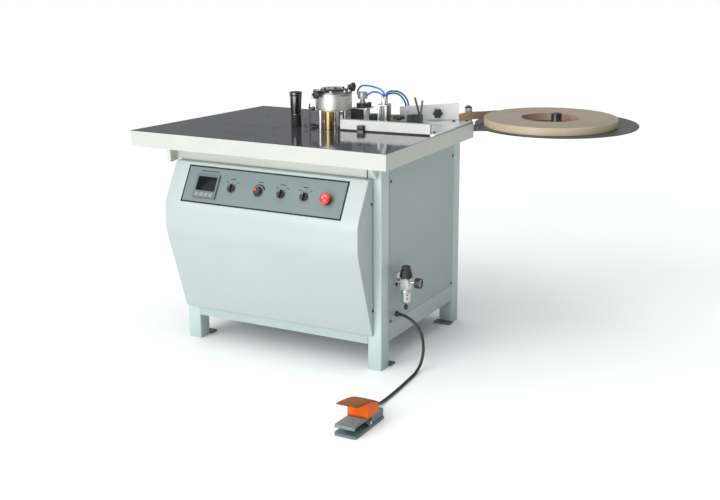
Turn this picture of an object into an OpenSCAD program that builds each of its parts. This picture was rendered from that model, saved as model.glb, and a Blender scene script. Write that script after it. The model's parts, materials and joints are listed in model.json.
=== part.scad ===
// Manual edge banding machine: tube-frame cabinet, table, glue pot and rollers, tape reel,
// air set and foot pedal. Millimetres, +Z up, floor at Z = 0, origin at the middle of the
// cabinet's footprint. X runs right, Y runs back from the operator.

/* [Table] */
// Table length along the front
table_w = 1180; // [900:10:1600]
// Table depth, front to back
table_d = 820; // [600:10:1000]
// Working height of the table top
table_h = 880; // [800:5:950]
// Thickness of the table slab
table_t = 65; // [40:1:90]
// How far the rear left corner lies in from the front left corner
end_rake = 125; // [0:5:200]
// Thickness of the laminate sheet
lam_t = 2; // [1:0.5:4]

/* [Cabinet] */
// Cabinet width over the posts
body_w = 920; // [700:10:1200]
// Cabinet depth over the posts
body_d = 740; // [500:10:900]
// Post width along X
post_w = 60; // [40:1:80]
// Post depth along Y
post_d = 66; // [40:1:80]
// Wall of the frame tubes
tube_wall = 3; // [2:0.5:5]
// Height of the lower rails above the floor
rail_z = 105; // [60:5:200]
// Height of the lower rail tubes
rail_h = 70; // [40:5:100]
// Table overhang in front of the posts
front_overhang = 60; // [20:5:120]
// Table overhang to the right of the posts
right_overhang = 50; // [20:5:120]

/* [Hood] */
// Width of the front hood
hood_w = 886; // [600:2:920]
// Height of the hood's top edge
hood_top = 770; // [700:5:800]
// Height of the upper bend
hood_bend_hi = 610; // [550:5:680]
// Height of the lower bend
hood_bend_lo = 495; // [400:5:540]
// Height of the hood's bottom edge
hood_bottom = 143; // [110:1:200]
// How far the bends stand out in front of the posts
hood_out = 128; // [60:2:180]
// Hood sheet thickness
sheet = 2; // [1:0.5:3]

/* [Mechanism] */
// Glue roller diameter
glue_roller_d = 40; // [30:1:60]
// Press roller diameter at the rubber
press_roller_d = 42; // [30:1:80]
// Glue pot outside diameter
pot_d = 151; // [100:1:200]
// Glue pot height
pot_h = 67; // [40:1:120]
// Height of the pot's underside above the table
pot_gap = 74; // [40:1:120]
// Guide rail length
guide_l = 388; // [250:2:500]
// Height of the guide rail
guide_h = 39; // [25:1:60]

/* [Reel] */
// Reel tray diameter
tray_d = 694; // [400:2:800]
// Tape roll outside diameter
roll_d = 564; // [200:4:700]
// Tape roll core diameter
core_d = 254; // [100:2:300]
// Tape width
tape_w = 33; // [18:1:60]

/* [Pedal] */
// Pedal length
pedal_l = 210; // [150:5:260]
// Pedal width
pedal_w = 88; // [60:2:120]
// Pedal cable diameter
cable_d = 12; // [6:0.5:14]

/* [Hidden] */
$fn = 48;
bx = body_w / 2;
by = body_d / 2;
tx1 = bx + right_overhang;
tx0 = tx1 - table_w;
ty0 = -by - front_overhang;
ty1 = ty0 + table_d;
slab_z = table_h - table_t;
seam_y = -118;
// front and back limits of the machine's own plate
plate_t = 6;
pz = table_h + plate_t;
fence_a = 29.5;
fence_p = [256, 198];
fence_l = 248;
fence_t = 8;
rail_a = 5.7;
rail_p = [104, -45];
press_c = [-111, -37];
glue_c = [49, -38];
feed_c = [170.5, 136.8];
pot_c = [31, 32];
motor_c = [-45, 150];
reel_c = [810, 585];
roll_c = [798, 545];
tray_z = table_h - 18;
pot_z = table_h + pot_gap;
shaft_d = 20;
spr_z = slab_z - 40;
// front panel frame: origin at the top edge of the upper slope, v runs down the slope
hood_y0 = -by - 36;
hood_y1 = -by - hood_out;
slope = atan2(hood_top - hood_bend_hi, hood_out - 36);
ctl_v = 95;
frl = [bx + 40, -235, 327];
gland_p = [bx, -241, 201];
ped = [bx + 176, -883, 0];

function left_edge(y) = tx0 + end_rake * (y - ty0) / table_d;
module on_panel(x, v) {
  translate([x, hood_y0 - v * cos(slope), hood_top - v * sin(slope)]) rotate([slope, 0, 0]) children();
}
module at_fence(s, n, z) {
  translate([fence_p[0], fence_p[1], z]) rotate([0, 0, fence_a]) translate([s, n, 0]) children();
}
module at_rail(s, n, z) {
  translate([rail_p[0], rail_p[1], z]) rotate([0, 0, rail_a]) translate([s, n, 0]) children();
}
module tube(v, w) {
  difference() {
    cube(v);
    if (v[0] > v[1] && v[0] > v[2]) translate([-1, w, w]) cube([v[0] + 2, v[1] - 2 * w, v[2] - 2 * w]);
    else if (v[1] > v[2]) translate([w, -1, w]) cube([v[0] - 2 * w, v[1] + 2, v[2] - 2 * w]);
    else translate([w, w, w]) cube([v[0] - 2 * w, v[1] - 2 * w, v[2] - 2 * w]);
  }
}
module star(r, t, n = 6) {
  difference() {
    cylinder(r = r, h = t);
    for (i = [0 : n - 1]) rotate([0, 0, i * 360 / n + 180 / n]) translate([r * 1.06, 0, -1])
      cylinder(r = r * 0.27, h = t + 2, $fn = 20);
  }
}
// swept round section along a list of points, one ring per point
function vunit(a) = a / norm(a);
module sweep_round(pts, r, sides = 10) {
  n = len(pts);
  tang = [for (i = [0 : n - 1]) vunit(pts[min(n - 1, i + 1)] - pts[max(0, i - 1)])];
  ring = [for (i = [0 : n - 1])
    let (t = tang[i], ref = abs(t[2]) > 0.95 ? [0, 1, 0] : [0, 0, 1],
         a = vunit(cross(ref, t)), b = cross(t, a))
    [for (k = [0 : sides - 1]) pts[i] + r * (cos(360 * k / sides) * a + sin(360 * k / sides) * b)]];
  flat = [for (q = ring) each q];
  polyhedron(points = flat, convexity = 6, faces = concat(
    [[for (k = [0 : sides - 1]) k]],
    [[for (k = [0 : sides - 1]) n * sides - 1 - k]],
    [for (i = [0 : n - 2]) for (k = [0 : sides - 1])
      let (a = i * sides + k, b = i * sides + (k + 1) % sides, c = b + sides, d = a + sides) [a, d, c, b]]));
}
// points of a smooth curve through knots
function cr(a, b, c, d, t) = 0.5 * (2 * b + (c - a) * t + (2 * a - 5 * b + 4 * c - d) * t * t
  + (3 * b - a - 3 * c + d) * t * t * t);
function smooth(k, m) = [for (i = [0 : len(k) - 2]) for (j = [0 : m - 1])
  cr(k[max(0, i - 1)], k[i], k[i + 1], k[min(len(k) - 1, i + 2)], j / m), k[len(k) - 1]];

// ---------------------------------------------------------------- cabinet
module corner_posts() color([0.80, 0.86, 0.86])
  for (x = [-bx, bx - post_w], y = [-by, by - post_d])
    translate([x, y, 0]) tube([post_w, post_d, slab_z], tube_wall);
module cross_rails() color([0.76, 0.82, 0.82]) {
  lx = body_w - 2 * post_w;
  ly = body_d - 2 * post_d;
  for (y = [-by, by - 30], z = [[rail_z, rail_h], [slab_z - 50, 50]])
    translate([-lx / 2, y == -by && z[1] == 50 ? y + 6 : y == -by ? y : y - 4, z[0]])
      tube([lx, 30, z[1]], tube_wall);
  for (s = [-1, 1]) {
    translate([s > 0 ? bx - 30 : -bx, -ly / 2, rail_z]) tube([30, ly, rail_h], tube_wall);
    translate([s > 0 ? bx - 33 : -bx + 3, -ly / 2, slab_z - 50]) tube([30, ly, 50], tube_wall);
  }
}
module floor_brackets() color([0.35, 0.38, 0.38])
  for (s = [-1, 1], q = [-1, 1]) difference() {
    translate([s * (bx - post_w / 2) - post_w / 2 - 8, q > 0 ? by - post_d - 40 : -by + post_d, 0])
      cube([post_w + 16, 40, 8]);
    translate([s * (bx - post_w / 2), q * (by - post_d - 20), -1]) cylinder(r = 7, h = 10);
  }
module side_panels()
  for (s = [-1, 1]) difference() {
    translate([s > 0 ? bx - 3 : -bx, -by + post_d + 1, rail_z + rail_h + 1])
      cube([3, body_d - 2 * post_d - 2, slab_z - rail_z - rail_h - 2]);
    if (s > 0) {
      translate([bx - 9, gland_p[1], gland_p[2]]) rotate([0, 90, 0]) cylinder(r = 8, h = 20);
      translate([bx - 9, -238, 322]) rotate([0, 90, 0]) cylinder(r = 5, h = 20);
    }
    for (y = [-290, 292], z = [185, 747]) translate([s > 0 ? bx - 9 : -bx - 9, y, z])
      rotate([0, 90, 0]) cylinder(r = 3.4, h = 20, $fn = 24);
  }
module back_panel()
  translate([-bx + post_w + 1, by - 4, rail_z + rail_h + 1])
    cube([body_w - 2 * post_w - 2, 3, slab_z - rail_z - rail_h - 2]);
module bottom_tray()
  difference() {
    union() {
      translate([-bx + post_w + 1, -by + 31, rail_z + 2]) cube([body_w - 2 * post_w - 2, body_d - 66, 3]);
      translate([-bx + 31, -by + post_d + 1, rail_z + 2]) cube([body_w - 62, body_d - 2 * post_d - 2, 3]);
    }
    for (x = [-200, 0, 200]) translate([x, 0, rail_z]) cylinder(r = 18, h = 10);
  }
module cabinet_panels() color([0.78, 0.84, 0.84]) { side_panels(); back_panel(); bottom_tray(); }
module hood_section(g) {
  y0 = hood_y0;
  y1 = hood_y1;
  polygon([[-by + (g > 0 ? 1 : 0), hood_top - g], [y0 + g * 0.6, hood_top - g],
    [y1 + g, hood_bend_hi - g * 0.3], [y1 + g, hood_bend_lo + g * 0.1],
    [-by - 10 + g * 0.8, hood_bottom + g], [-by + (g > 0 ? 1 : 0), hood_bottom + g]]);
}
module panel_holes(r_switch, r_speed) {
  for (x = [-163, 67, 171]) on_panel(x, ctl_v) translate([0, 0, -12]) cylinder(r = r_switch, h = 24);
  on_panel(274, 96) translate([0, 0, -12]) cylinder(r = r_switch, h = 24);
  on_panel(-37, ctl_v) translate([0, 0, -12]) cylinder(r = r_speed, h = 24);
  on_panel(-280, 97) translate([-46.2, -46.2, -12]) cube([92.4, 92.4, 24]);
}
module hood() color([0.88, 0.92, 0.91])
  difference() {
    translate([-bx, 0, 0]) rotate([90, 0, 90]) linear_extrude(hood_w) hood_section(0);
    translate([-bx + sheet, 0, 0]) rotate([90, 0, 90]) linear_extrude(hood_w - 2 * sheet)
      hood_section(sheet);
    panel_holes(11.2, 6);
    for (p = [[-385, 672], [-379, 247]]) translate([-bx + hood_w - 6, p[0], p[1]]) rotate([0, 90, 0])
      cylinder(r = 3.3, h = 12, $fn = 24);
  }
module button_head(t) {
  translate([0, 0, -0.1]) cylinder(r = 3, h = 0.2, $fn = 24);
  cylinder(r1 = 6.6, r2 = 5, h = 2.6, $fn = 28);
  translate([0, 0, -t]) cylinder(r = 3, h = t + 0.1, $fn = 24);
}
module button_screws() {
  for (s = [-1, 1], y = [-290, 292], z = [185, 747]) translate([s * bx, y, z]) rotate([0, s * 90, 0])
    button_head(2.9);
  for (p = [[-385, 672], [-379, 247]]) translate([-bx + hood_w, p[0], p[1]]) rotate([0, 90, 0])
    button_head(1.9);
}
module table_supports() color([0.84, 0.88, 0.87]) {
  // front apron strip under the slab
  translate([-bx - 20, -by - 5, slab_z - 44.6]) cube([body_w - 40, 4.6, 44.4]);
  // tapered bracket in front of the right post
  translate([426.6, 0, 0]) rotate([90, 0, 90]) linear_extrude(18)
    polygon([[-by - 0.4, slab_z - 0.2], [-by - 44, slab_z - 0.2], [-by - 44, slab_z - 8],
      [-by - 8, slab_z - 44.6], [-by - 0.4, slab_z - 44.6]]);
  // bracket under the left overhang
  translate([-bx - 36.2, 0, 0]) rotate([90, 0, 90]) linear_extrude(16)
    polygon([[-by - 50, slab_z - 0.2], [-by + 30, slab_z - 0.2], [-by + 30, slab_z - 46],
      [-by - 40, slab_z - 54], [-by - 50, slab_z - 50]]);
}
// ---------------------------------------------------------------- table
module slab(y0, y1, z0, z1) {
  translate([0, 0, z0]) linear_extrude(z1 - z0)
    polygon([[left_edge(y0), y0], [tx1, y0], [tx1, y1], [left_edge(y1), y1]]);
}
module shaft_holes(r) {
  for (c = [press_c, glue_c, feed_c]) translate([c[0], c[1], slab_z - 1]) cylinder(r = r, h = table_t + 2);
}
module front_board() color([0.91, 0.91, 0.88]) slab(ty0, seam_y - 0.3, slab_z, table_h - lam_t);
module rear_board() color([0.91, 0.91, 0.88]) difference() {
  slab(seam_y + 0.3, ty1, slab_z, table_h - lam_t);
  shaft_holes(15);
}
screw_list = concat(
  [for (x = [-503, -390, -279, -169], y = [seam_y - 18, seam_y + 17]) [x, y]],
  [for (x = [-504, -287, -73]) [x, -268]],
  [for (x = [-533, -377, -227, -82, 90, 250, 410]) [x, -400]],
  [[-602, -117], [-366, 143], [337, -236]]);
module screw_recess()
  for (p = screw_list) translate([p[0], p[1], table_h - 2.6]) cylinder(r = 5.2, h = 4, $fn = 28);
module front_laminate()
  difference() { slab(ty0 + 0.5, seam_y - 0.6, table_h - lam_t, table_h); screw_recess(); }
module rear_laminate() difference() {
  slab(seam_y + 0.6, ty1 - 0.5, table_h - lam_t, table_h);
  screw_recess();
  shaft_holes(13);
}
module laminates() color([0.36, 0.37, 0.41]) { front_laminate(); rear_laminate(); }
module table_screws()
  for (p = screw_list) translate([p[0], p[1], table_h - lam_t]) cylinder(r = 4.8, h = lam_t + 0.4, $fn = 24);
module screws() color([0.12, 0.12, 0.13]) {
  button_screws();
  table_screws();
  for (p = [[-50, 366], [200, 366], [488, 366], [488, 40]]) translate([p[0], p[1], pz + 0.05])
    cylinder(r1 = 6.5, r2 = 5.4, h = 4, $fn = 28);
}
module shaft_bushes() color([0.72, 0.60, 0.30])
  for (c = [press_c, glue_c, feed_c]) translate([c[0], c[1], 0]) difference() {
    union() {
      translate([0, 0, slab_z - 5]) cylinder(r = 21, h = 4.9);
      translate([0, 0, slab_z - 0.2]) cylinder(r = 14.6, h = table_t - 8);
    }
    translate([0, 0, slab_z - 10]) cylinder(r = shaft_d / 2 + 0.05, h = table_t + 10);
  }
// ---------------------------------------------------------------- controls
module control_plate() color([0.70, 0.73, 0.74]) difference() {
  on_panel(-18.5, 91.5) translate([-366.5, -76.5, 0.1]) cube([733, 153, 1.9]);
  panel_holes(11.2, 3.06);
}
module temp_controller() color([0.80, 0.80, 0.78]) {
  on_panel(-280, 97) translate([0, 0, 2.1]) difference() {
    translate([-54, -50, 0]) cube([108, 100, 7]);
    translate([-46, -22, 5]) cube([92, 62, 4]);
  }
  // four raised pads of the membrane under the display
  for (i = [0 : 3]) on_panel(-280 - 33 + 22 * i, 97) translate([-8, -43, 9]) cube([16, 12, 0.8]);
  on_panel(-280, 97) translate([-45.6, -45.6, -70]) cube([91.2, 91.2, 72.4]);
}
module switch_collars() color([0.16, 0.16, 0.17]) {
  for (x = [-163, 67, 171]) on_panel(x, ctl_v) difference() {
    union() {
      translate([0, 0, 2.1]) cylinder(r = 16, h = 4);
      translate([0, 0, -26]) cylinder(r = 10.8, h = 28.5);
    }
    translate([0, 0, -22]) cylinder(r = 6.05, h = 40);
  }
  on_panel(274, 96) difference() {
    union() {
      translate([0, 0, 2.1]) cylinder(r = 19, h = 5);
      translate([0, 0, -26]) cylinder(r = 10.8, h = 28.5);
    }
    translate([0, 0, -22]) cylinder(r = 8.05, h = 40);
  }
}
module selector(x) on_panel(x, ctl_v) {
  translate([0, 0, -12]) cylinder(r = 6, h = 19);
  translate([0, 0, 6.5]) cylinder(r = 15.5, h = 5);
  translate([-4.5, -14.5, 11]) cube([9, 29, 12]);
}
module mode_switch() color([0.09, 0.09, 0.10]) selector(-163);
module heat_switch() color([0.09, 0.09, 0.10]) selector(67);
module cut_switch() color([0.09, 0.09, 0.10]) selector(171);
module speed_knob() color([0.09, 0.09, 0.10]) on_panel(-37, ctl_v) {
  translate([0, 0, -12]) cylinder(r = 3, h = 18);
  translate([0, 0, 2.4]) cylinder(r1 = 14, r2 = 11.5, h = 16);
  translate([-1.6, 4, 18]) cube([3.2, 9, 1.2]);
}
module estop_button() color([0.80, 0.10, 0.09]) on_panel(274, 96) {
  translate([0, 0, -10]) cylinder(r = 8, h = 26);
  translate([0, 0, 15]) cylinder(r1 = 14, r2 = 23, h = 5);
  translate([0, 0, 20]) cylinder(r = 23, h = 5);
  translate([0, 0, 25]) cylinder(r1 = 23, r2 = 15, h = 6);
}
module electrics_box() color([0.62, 0.66, 0.67])
  translate([-290, -by + 40, rail_z + 5.2]) cube([580, 90, 530]);
// ---------------------------------------------------------------- air set
module regulator_body() color([0.72, 0.74, 0.75]) {
  difference() {
    union() {
      translate([frl[0] - 17, frl[1] - 17, 306]) cube([34, 34, 44]);
      translate([frl[0], frl[1], 349]) cylinder(r = 15, h = 6);
      // hanger to the side panel
      translate([bx + 0.1, frl[1] - 16, 334]) cube([frl[0] - bx - 10, 32, 8]);
      translate([bx + 0.1, frl[1] - 16, 334]) cube([4, 32, 36]);
      // port stub towards the panel
      translate([frl[0] - 30, frl[1] - 3, 322]) rotate([0, 90, 0]) cylinder(r = 7, h = 20);
      // stub for the gauge
      translate([frl[0] + 16, frl[1], 338]) rotate([0, 90, 0]) cylinder(r = 6, h = 22);
    }
    translate([frl[0], frl[1] + 18, 322]) rotate([90, 0, 0]) cylinder(r = 5.9, h = 13);
    translate([frl[0], frl[1], 300]) cylinder(r = 9, h = 14);
    translate([frl[0], frl[1], 340]) cylinder(r = 5.06, h = 20);
  }
}
module regulator_knob() color([0.10, 0.11, 0.11]) translate([frl[0], frl[1], 0]) {
  translate([0, 0, 355.4]) cylinder(r = 25, h = 10);
  translate([0, 0, 342]) cylinder(r = 5, h = 14);
  translate([0, 0, 365.4]) cylinder(r1 = 25, r2 = 21, h = 22);
  translate([0, 0, 387.4]) cylinder(r = 17, h = 14);
}
module filter_bowl() color([0.80, 0.82, 0.82]) translate([frl[0], frl[1], 0]) difference() {
  union() {
    translate([0, 0, 258]) cylinder(r = 19.5, h = 47.8);
    translate([0, 0, 250]) cylinder(r1 = 12, r2 = 19.5, h = 8);
  }
  translate([0, 0, 262]) cylinder(r = 17, h = 50);
  translate([0, 0, 240]) cylinder(r = 4.1, h = 30);
  for (a = [-50, 40, 130, 220]) rotate([0, 0, a]) for (z = [272, 288]) translate([12, 0, z])
    rotate([0, 90, 0]) cylinder(r = 4, h = 12, $fn = 20);
}
module drain_valve() color([0.09, 0.10, 0.10]) translate([frl[0], frl[1], 0]) {
  translate([0, 0, 240]) cylinder(r = 4.05, h = 16);
  translate([0, 0, 224]) cylinder(r1 = 6, r2 = 9, h = 14);
  translate([-2.5, -11, 226]) cube([5, 22, 9]);
}
module pressure_gauge() color([0.12, 0.12, 0.13])
  translate([frl[0] + 38.1, frl[1], 338]) rotate([0, 90, 0]) {
  cylinder(r = 5, h = 6);
  difference() {
    translate([0, 0, 5]) cylinder(r = 20.5, h = 21);
    translate([0, 0, 22]) cylinder(r = 17.5, h = 10);
  }
}
// hose routes, one list of knots each
hose_loop_a = [
  [221.5, 118.5, 996], [221.5, 118.5, 1008], [220, 118, 1020], [211, 118, 1030], [192, 119, 1038],
  [155, 124, 1044], [120, 132, 1043], [100, 138, 1036], [87, 142, 1022], [84, 143, 1010], [86, 141.5, 1003],
  [92, 139, 1000]];
hose_loop_b = [
  [221.5, 107.5, 996], [221, 107.5, 1006], [216, 108.5, 1014], [207, 110.5, 1019], [190, 114, 1022],
  [166, 121, 1020], [148, 126, 1011], [136.2, 128, 1004]];
hose_over_a = [[232.5, 107.5, 996], [233, 108, 1008], [236, 112, 1019], [244, 130, 1027], [257, 165, 1023],
  [267, 200, 1008], [273, 226, 984], [272, 244, 962], [268, 252, 930], [266, 254, 905], [266, 254, 886.2]];
hose_over_b = [[232.5, 118.5, 996], [232.5, 119, 1006], [234, 126, 1013], [238, 146, 1016], [246, 174, 1013],
  [255, 206, 999], [260, 229, 976], [260, 246, 954], [257, 256, 925], [255, 258, 905], [255, 258, 886.2]];
hose_side = [[469.9, -238, 322], [460, -238, 322], [446, -238, 323], [424, -240, 332], [392, -248, 344],
  [350, -262, 352], [310, -270, 355], [290.2, -271, 355]];
module air_hoses() color([0.10, 0.42, 0.72]) {
  for (k = [hose_loop_a, hose_loop_b, hose_over_a, hose_over_b]) sweep_round(smooth(k, 4), 4, 10);
  sweep_round(smooth(hose_side, 3), 4, 10);
}
// ---------------------------------------------------------------- pedal and its cable
module cable_gland() color([0.08, 0.08, 0.09]) translate(gland_p) rotate([0, 90, 0]) difference() {
  union() {
    translate([0, 0, 0.1]) cylinder(r = 12, h = 6, $fn = 6);
    translate([0, 0, 6]) cylinder(r1 = 10, r2 = 8, h = 8);
    translate([0, 0, -10]) cylinder(r = 7.8, h = 12);
  }
  translate([0, 0, 8]) cylinder(r = cable_d / 2 + 0.7, h = 10);
}
cable_path = [
  [bx + 8.6, -241, 201], [bx + 18, -241.2, 201], [bx + 32, -243, 200], [523, -246, 190],
  [555, -250, 169], [578, -256, 138],
  [590, -263, 101], [594, -273, 66], [594, -290, 34], [592, -316, 13], [595, -352, 7], [601, -420, 6.6],
  [607, -500, 6.6], [611, -580, 6.6], [613, -650, 8], [618, -700, 14], [628, -740, 22], [635, -762, 24],
  [636, -776, 24], [636, -790, 24]];
module pedal_cable() color([0.06, 0.06, 0.07]) sweep_round(smooth(cable_path, 3), cable_d / 2, 12);
module pedal_base() color([0.33, 0.42, 0.43]) {
  px = ped[0];
  difference() {
    union() {
      // low casting with rounded front corners
      translate([px - pedal_w / 2, -978, 0]) cube([pedal_w, pedal_l - 10, 11]);
      translate([px - pedal_w / 2 + 10, -988, 0]) cube([pedal_w - 20, 12, 11]);
      for (s = [-1, 1]) translate([px + s * (pedal_w / 2 - 10), -978, 0]) cylinder(r = 10, h = 11);
      // switch housing at the rear and two cheeks for the treadle pin
      translate([px - pedal_w / 2 + 3, -868, 10]) cube([pedal_w - 6, 90, 29.9]);
      for (s = [-1, 1]) translate([px + s * (pedal_w / 2 - 3) - 3, -886, 10]) cube([6, 20, 22]);
    }
    translate([px, -790, 24]) rotate([-90, 0, 0]) cylinder(r = cable_d / 2 + 0.4, h = 20);
    translate([px - pedal_w / 2 - 1, -878, 22]) rotate([0, 90, 0]) cylinder(r = 4.06, h = pedal_w + 2);
  }
}
module pedal_treadle() color([0.50, 0.56, 0.57]) {
  px = ped[0];
  translate([px - 46, -878, 22]) rotate([0, 90, 0]) cylinder(r = 4, h = 92);
  for (s = [-1, 1]) translate([px + s * 34 - 2, -888, 18]) cube([4, 17, 21]);
  translate([px - 39, 0, 0]) rotate([90, 0, 90]) linear_extrude(78)
    polygon([[-871, 37.4], [-889, 37.4], [-976, 39], [-983, 36], [-984, 31], [-988, 31], [-987, 39],
      [-979, 43], [-889, 41.4], [-871, 41.4]]);
}
module pedal_guard() color([0.93, 0.36, 0.08]) {
  px = ped[0];
  // front wall, side walls, rear wall and top with its raised visor
  translate([px - 44, -896, 42.2]) cube([88, 3, 65]);
  for (s = [-1, 1]) translate([px + s * 42.5 - 1.5, 0, 0]) rotate([90, 0, 90]) linear_extrude(3)
    polygon([[-893.2, 40.1], [-811, 40.1], [-811, 78.5], [-850, 97], [-893.2, 107.4]]);
  translate([px - 42, -814, 40.1]) cube([84, 3, 38.5]);
  translate([px - 44, 0, 0]) rotate([90, 0, 90]) linear_extrude(88)
    polygon([[-811, 77.2], [-850, 95.7], [-896, 106.3], [-940, 112], [-980, 115], [-980, 117.6],
      [-939, 114.8],
      [-895, 109.1], [-849, 98.4], [-811, 80.2]]);
}
// ---------------------------------------------------------------- mechanism on the table
module base_plate() color([0.82, 0.83, 0.85]) difference() {
  translate([0, 0, table_h + 0.1]) linear_extrude(plate_t - 0.1)
    polygon([[104, -43], [490, -4.4], [508, -2], [508, 386], [-70, 386], [-70, 62], [96, 62]]);
  translate([feed_c[0], feed_c[1], table_h - 1]) cylinder(r = 13, h = 10);
}
module guide_rail() color([0.80, 0.82, 0.84]) at_rail(0, 0, pz) cube([guide_l, 24, guide_h]);
module rear_fence() color([0.80, 0.82, 0.84]) difference() {
  union() {
    at_fence(0, 0, pz) rotate([90, 0, 0]) translate([0, 0, -fence_t]) linear_extrude(fence_t)
      polygon([[0, 0], [fence_l, 0], [fence_l, 81], [0, 69]]);
    at_fence(0, -34, pz) cube([fence_l, 35, 6]);
  }
  at_fence(158, -1, 926) rotate([-90, 0, 0]) cylinder(r = 5.06, h = 20);
  for (s = [30, 225]) at_fence(s, -18, pz - 1) cylinder(r = 3.3, h = 10, $fn = 24);
}
module fence_knob() color([0.07, 0.07, 0.08]) at_fence(158, 0, 926) rotate([90, 0, 0]) {
  translate([0, 0, 4]) star(21, 17);
  translate([0, 0, 0.4]) cylinder(r = 10, h = 5);
  translate([0, 0, -14]) cylinder(r = 5, h = 16);
}
module stop_knob() color([0.07, 0.07, 0.08]) translate([278, 145, 0]) {
  translate([0, 0, 911]) star(26, 15);
  translate([0, 0, 901]) cylinder(r = 13, h = 11);
  translate([0, 0, 890]) cylinder(r = 5, h = 14);
}
module tape_guides() color([0.80, 0.82, 0.83]) {
  // slotted block with two leaning fingers that steer the tape
  difference() {
    at_fence(26, -63, pz + 0.05) cube([66, 26, 42]);
    at_fence(42, -64, pz + 8) cube([34, 20, 40]);
  }
  at_fence(81, -41.5, pz + 32) rotate([0, -15, 0]) cylinder(r = 4, h = 84, $fn = 28);
  at_fence(82, -53, pz + 32) rotate([0, 7, 0]) cylinder(r = 4, h = 70, $fn = 28);
  // block under the stop knob
  difference() {
    translate([248, 123, pz + 0.05]) cube([60, 42, 14]);
    translate([278, 145, pz + 3]) cylinder(r = 5.06, h = 20);
  }
}
module feed_cylinder() color([0.74, 0.76, 0.78]) difference() {
  union() {
    translate([205, 91, pz + 0.05]) cube([42, 42, 88]);
    translate([227, 113, pz + 87.9]) cylinder(r = 14, h = 12);
    translate([227, 113, pz + 99.8]) cylinder(r = 15, h = 14, $fn = 6);
  }
  for (x = [214, 234]) translate([x, 90, pz + 20]) cube([4, 4, 50]);
}
cut_p = [98, 127];
blade_p = [113.9, 131.4];
module at_cut(z) translate([cut_p[0], cut_p[1], z]) rotate([0, 0, fence_a]) children();
module cutter_body() color([0.14, 0.15, 0.16]) difference() {
  at_cut(pz + 0.05) translate([-68, -24, 0]) cube([114, 48, 60]);
  at_cut(pz + 0.6) translate([-80, -8.2, 0]) cube([140, 4.2, 36.4]);
  at_cut(pz - 1) translate([14.4, -18, 0]) cube([3.2, 28, 62]);
  translate([blade_p[0], blade_p[1], pz + 18]) cylinder(r = 4.6, h = 50);
}
module cutter_cylinder() color([0.20, 0.22, 0.23]) difference() {
  union() {
    translate([78, 108, pz + 60.1]) cube([68, 62, 4]);
    translate([blade_p[0], blade_p[1] + 4, pz + 64]) cylinder(r = 27, h = 18);
    translate([blade_p[0], blade_p[1], pz + 81.9]) cylinder(r = 9, h = 21);
    translate([blade_p[0] + 23, blade_p[1] + 18, pz + 64]) cylinder(r = 8, h = 22);
  }
  translate([blade_p[0], blade_p[1], pz + 59]) cylinder(r = 4.06, h = 37);
}
module cutter_blade() color([0.62, 0.64, 0.66]) {
  at_cut(pz + 34.6) translate([14.8, -16, 0]) cube([2.4, 24, 25]);
  translate([blade_p[0], blade_p[1], pz + 56]) cylinder(r = 4, h = 38);
}
module air_manifold() color([0.74, 0.75, 0.76]) translate([blade_p[0], blade_p[1], pz + 103]) difference() {
  cylinder(r = 21, h = 27);
  for (i = [0 : 17]) rotate([0, 0, i * 20]) translate([21.6, 0, -1]) cylinder(r = 1.6, h = 30, $fn = 10);
}
module feed_roller() color([0.20, 0.20, 0.21])
  translate([feed_c[0], feed_c[1], 0]) roller_shaft(pz + 2, 20, 38);
module sprocket() difference() {
  cylinder(r = 24, h = 8);
  for (i = [0 : 13]) rotate([0, 0, i * 360 / 14]) translate([24.4, 0, -1])
    cylinder(r = 3, h = 10, $fn = 14);
}
module roller_shaft(z0, r, h) {
  translate([0, 0, spr_z - 12]) cylinder(r = shaft_d / 2, h = z0 + h - spr_z + 12);
  translate([0, 0, z0]) cylinder(r = r, h = h);
  translate([0, 0, spr_z]) sprocket();
}
module glue_roller() color([0.78, 0.62, 0.28]) translate([glue_c[0], glue_c[1], 0])
  roller_shaft(table_h + 1, glue_roller_d / 2, pot_gap - 2);
module press_roller() color([0.20, 0.20, 0.21]) translate([press_c[0], press_c[1], 0]) {
  difference() {
    union() {
      roller_shaft(table_h + 2, 12, 46);
      translate([0, 0, 926]) cylinder(r1 = 20.5, r2 = 26.3, h = 97);
    }
    translate([0, 0, 1013]) cylinder(r = 20, h = 20);
  }
}
module press_sleeve() color([0.06, 0.06, 0.06]) translate([press_c[0], press_c[1], 0]) difference() {
  translate([0, 0, table_h + 1]) cylinder(r = press_roller_d / 2, h = 44.9);
  translate([0, 0, table_h - 1]) cylinder(r = 12.05, h = 50);
}
module glue_pot() color([0.74, 0.74, 0.73]) translate([pot_c[0], pot_c[1], pot_z]) {
  difference() {
    union() {
      cylinder(r = pot_d / 2, h = pot_h, $fn = 72);
      rotate([0, 0, 90]) translate([-26, pot_d / 2 - 4, pot_h - 30]) cube([52, 22, 24]);
    }
    translate([0, 0, 12]) cylinder(r = pot_d / 2 - 8, h = pot_h, $fn = 72);
    rotate([0, 0, 90]) translate([-40, pot_d / 2 + 10, pot_h - 12]) rotate([0, 90, 0])
      cylinder(r = 4.06, h = 80);
    rotate([0, 0, 90]) translate([-14, pot_d / 2 + 1, pot_h - 40]) cube([28, 30, 60]);
  }
}
module pot_lid() color([0.55, 0.55, 0.55]) difference() {
  lid_solid();
  translate([pot_c[0] - 30, pot_c[1] - 60, pot_z + pot_h]) rotate([90, 0, 0])
    cylinder(r = 4.06, h = 40, $fn = 28);
  translate([pot_c[0] + 35, pot_c[1] + 55, pot_z + pot_h + 20]) rotate([0, 90, 0])
    cylinder(r = 4.06, h = 40, $fn = 28);
  translate([pot_c[0] + 52.6, pot_c[1] + 33, pot_z + pot_h - 2]) cube([40, 45, 20]);
}
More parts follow.
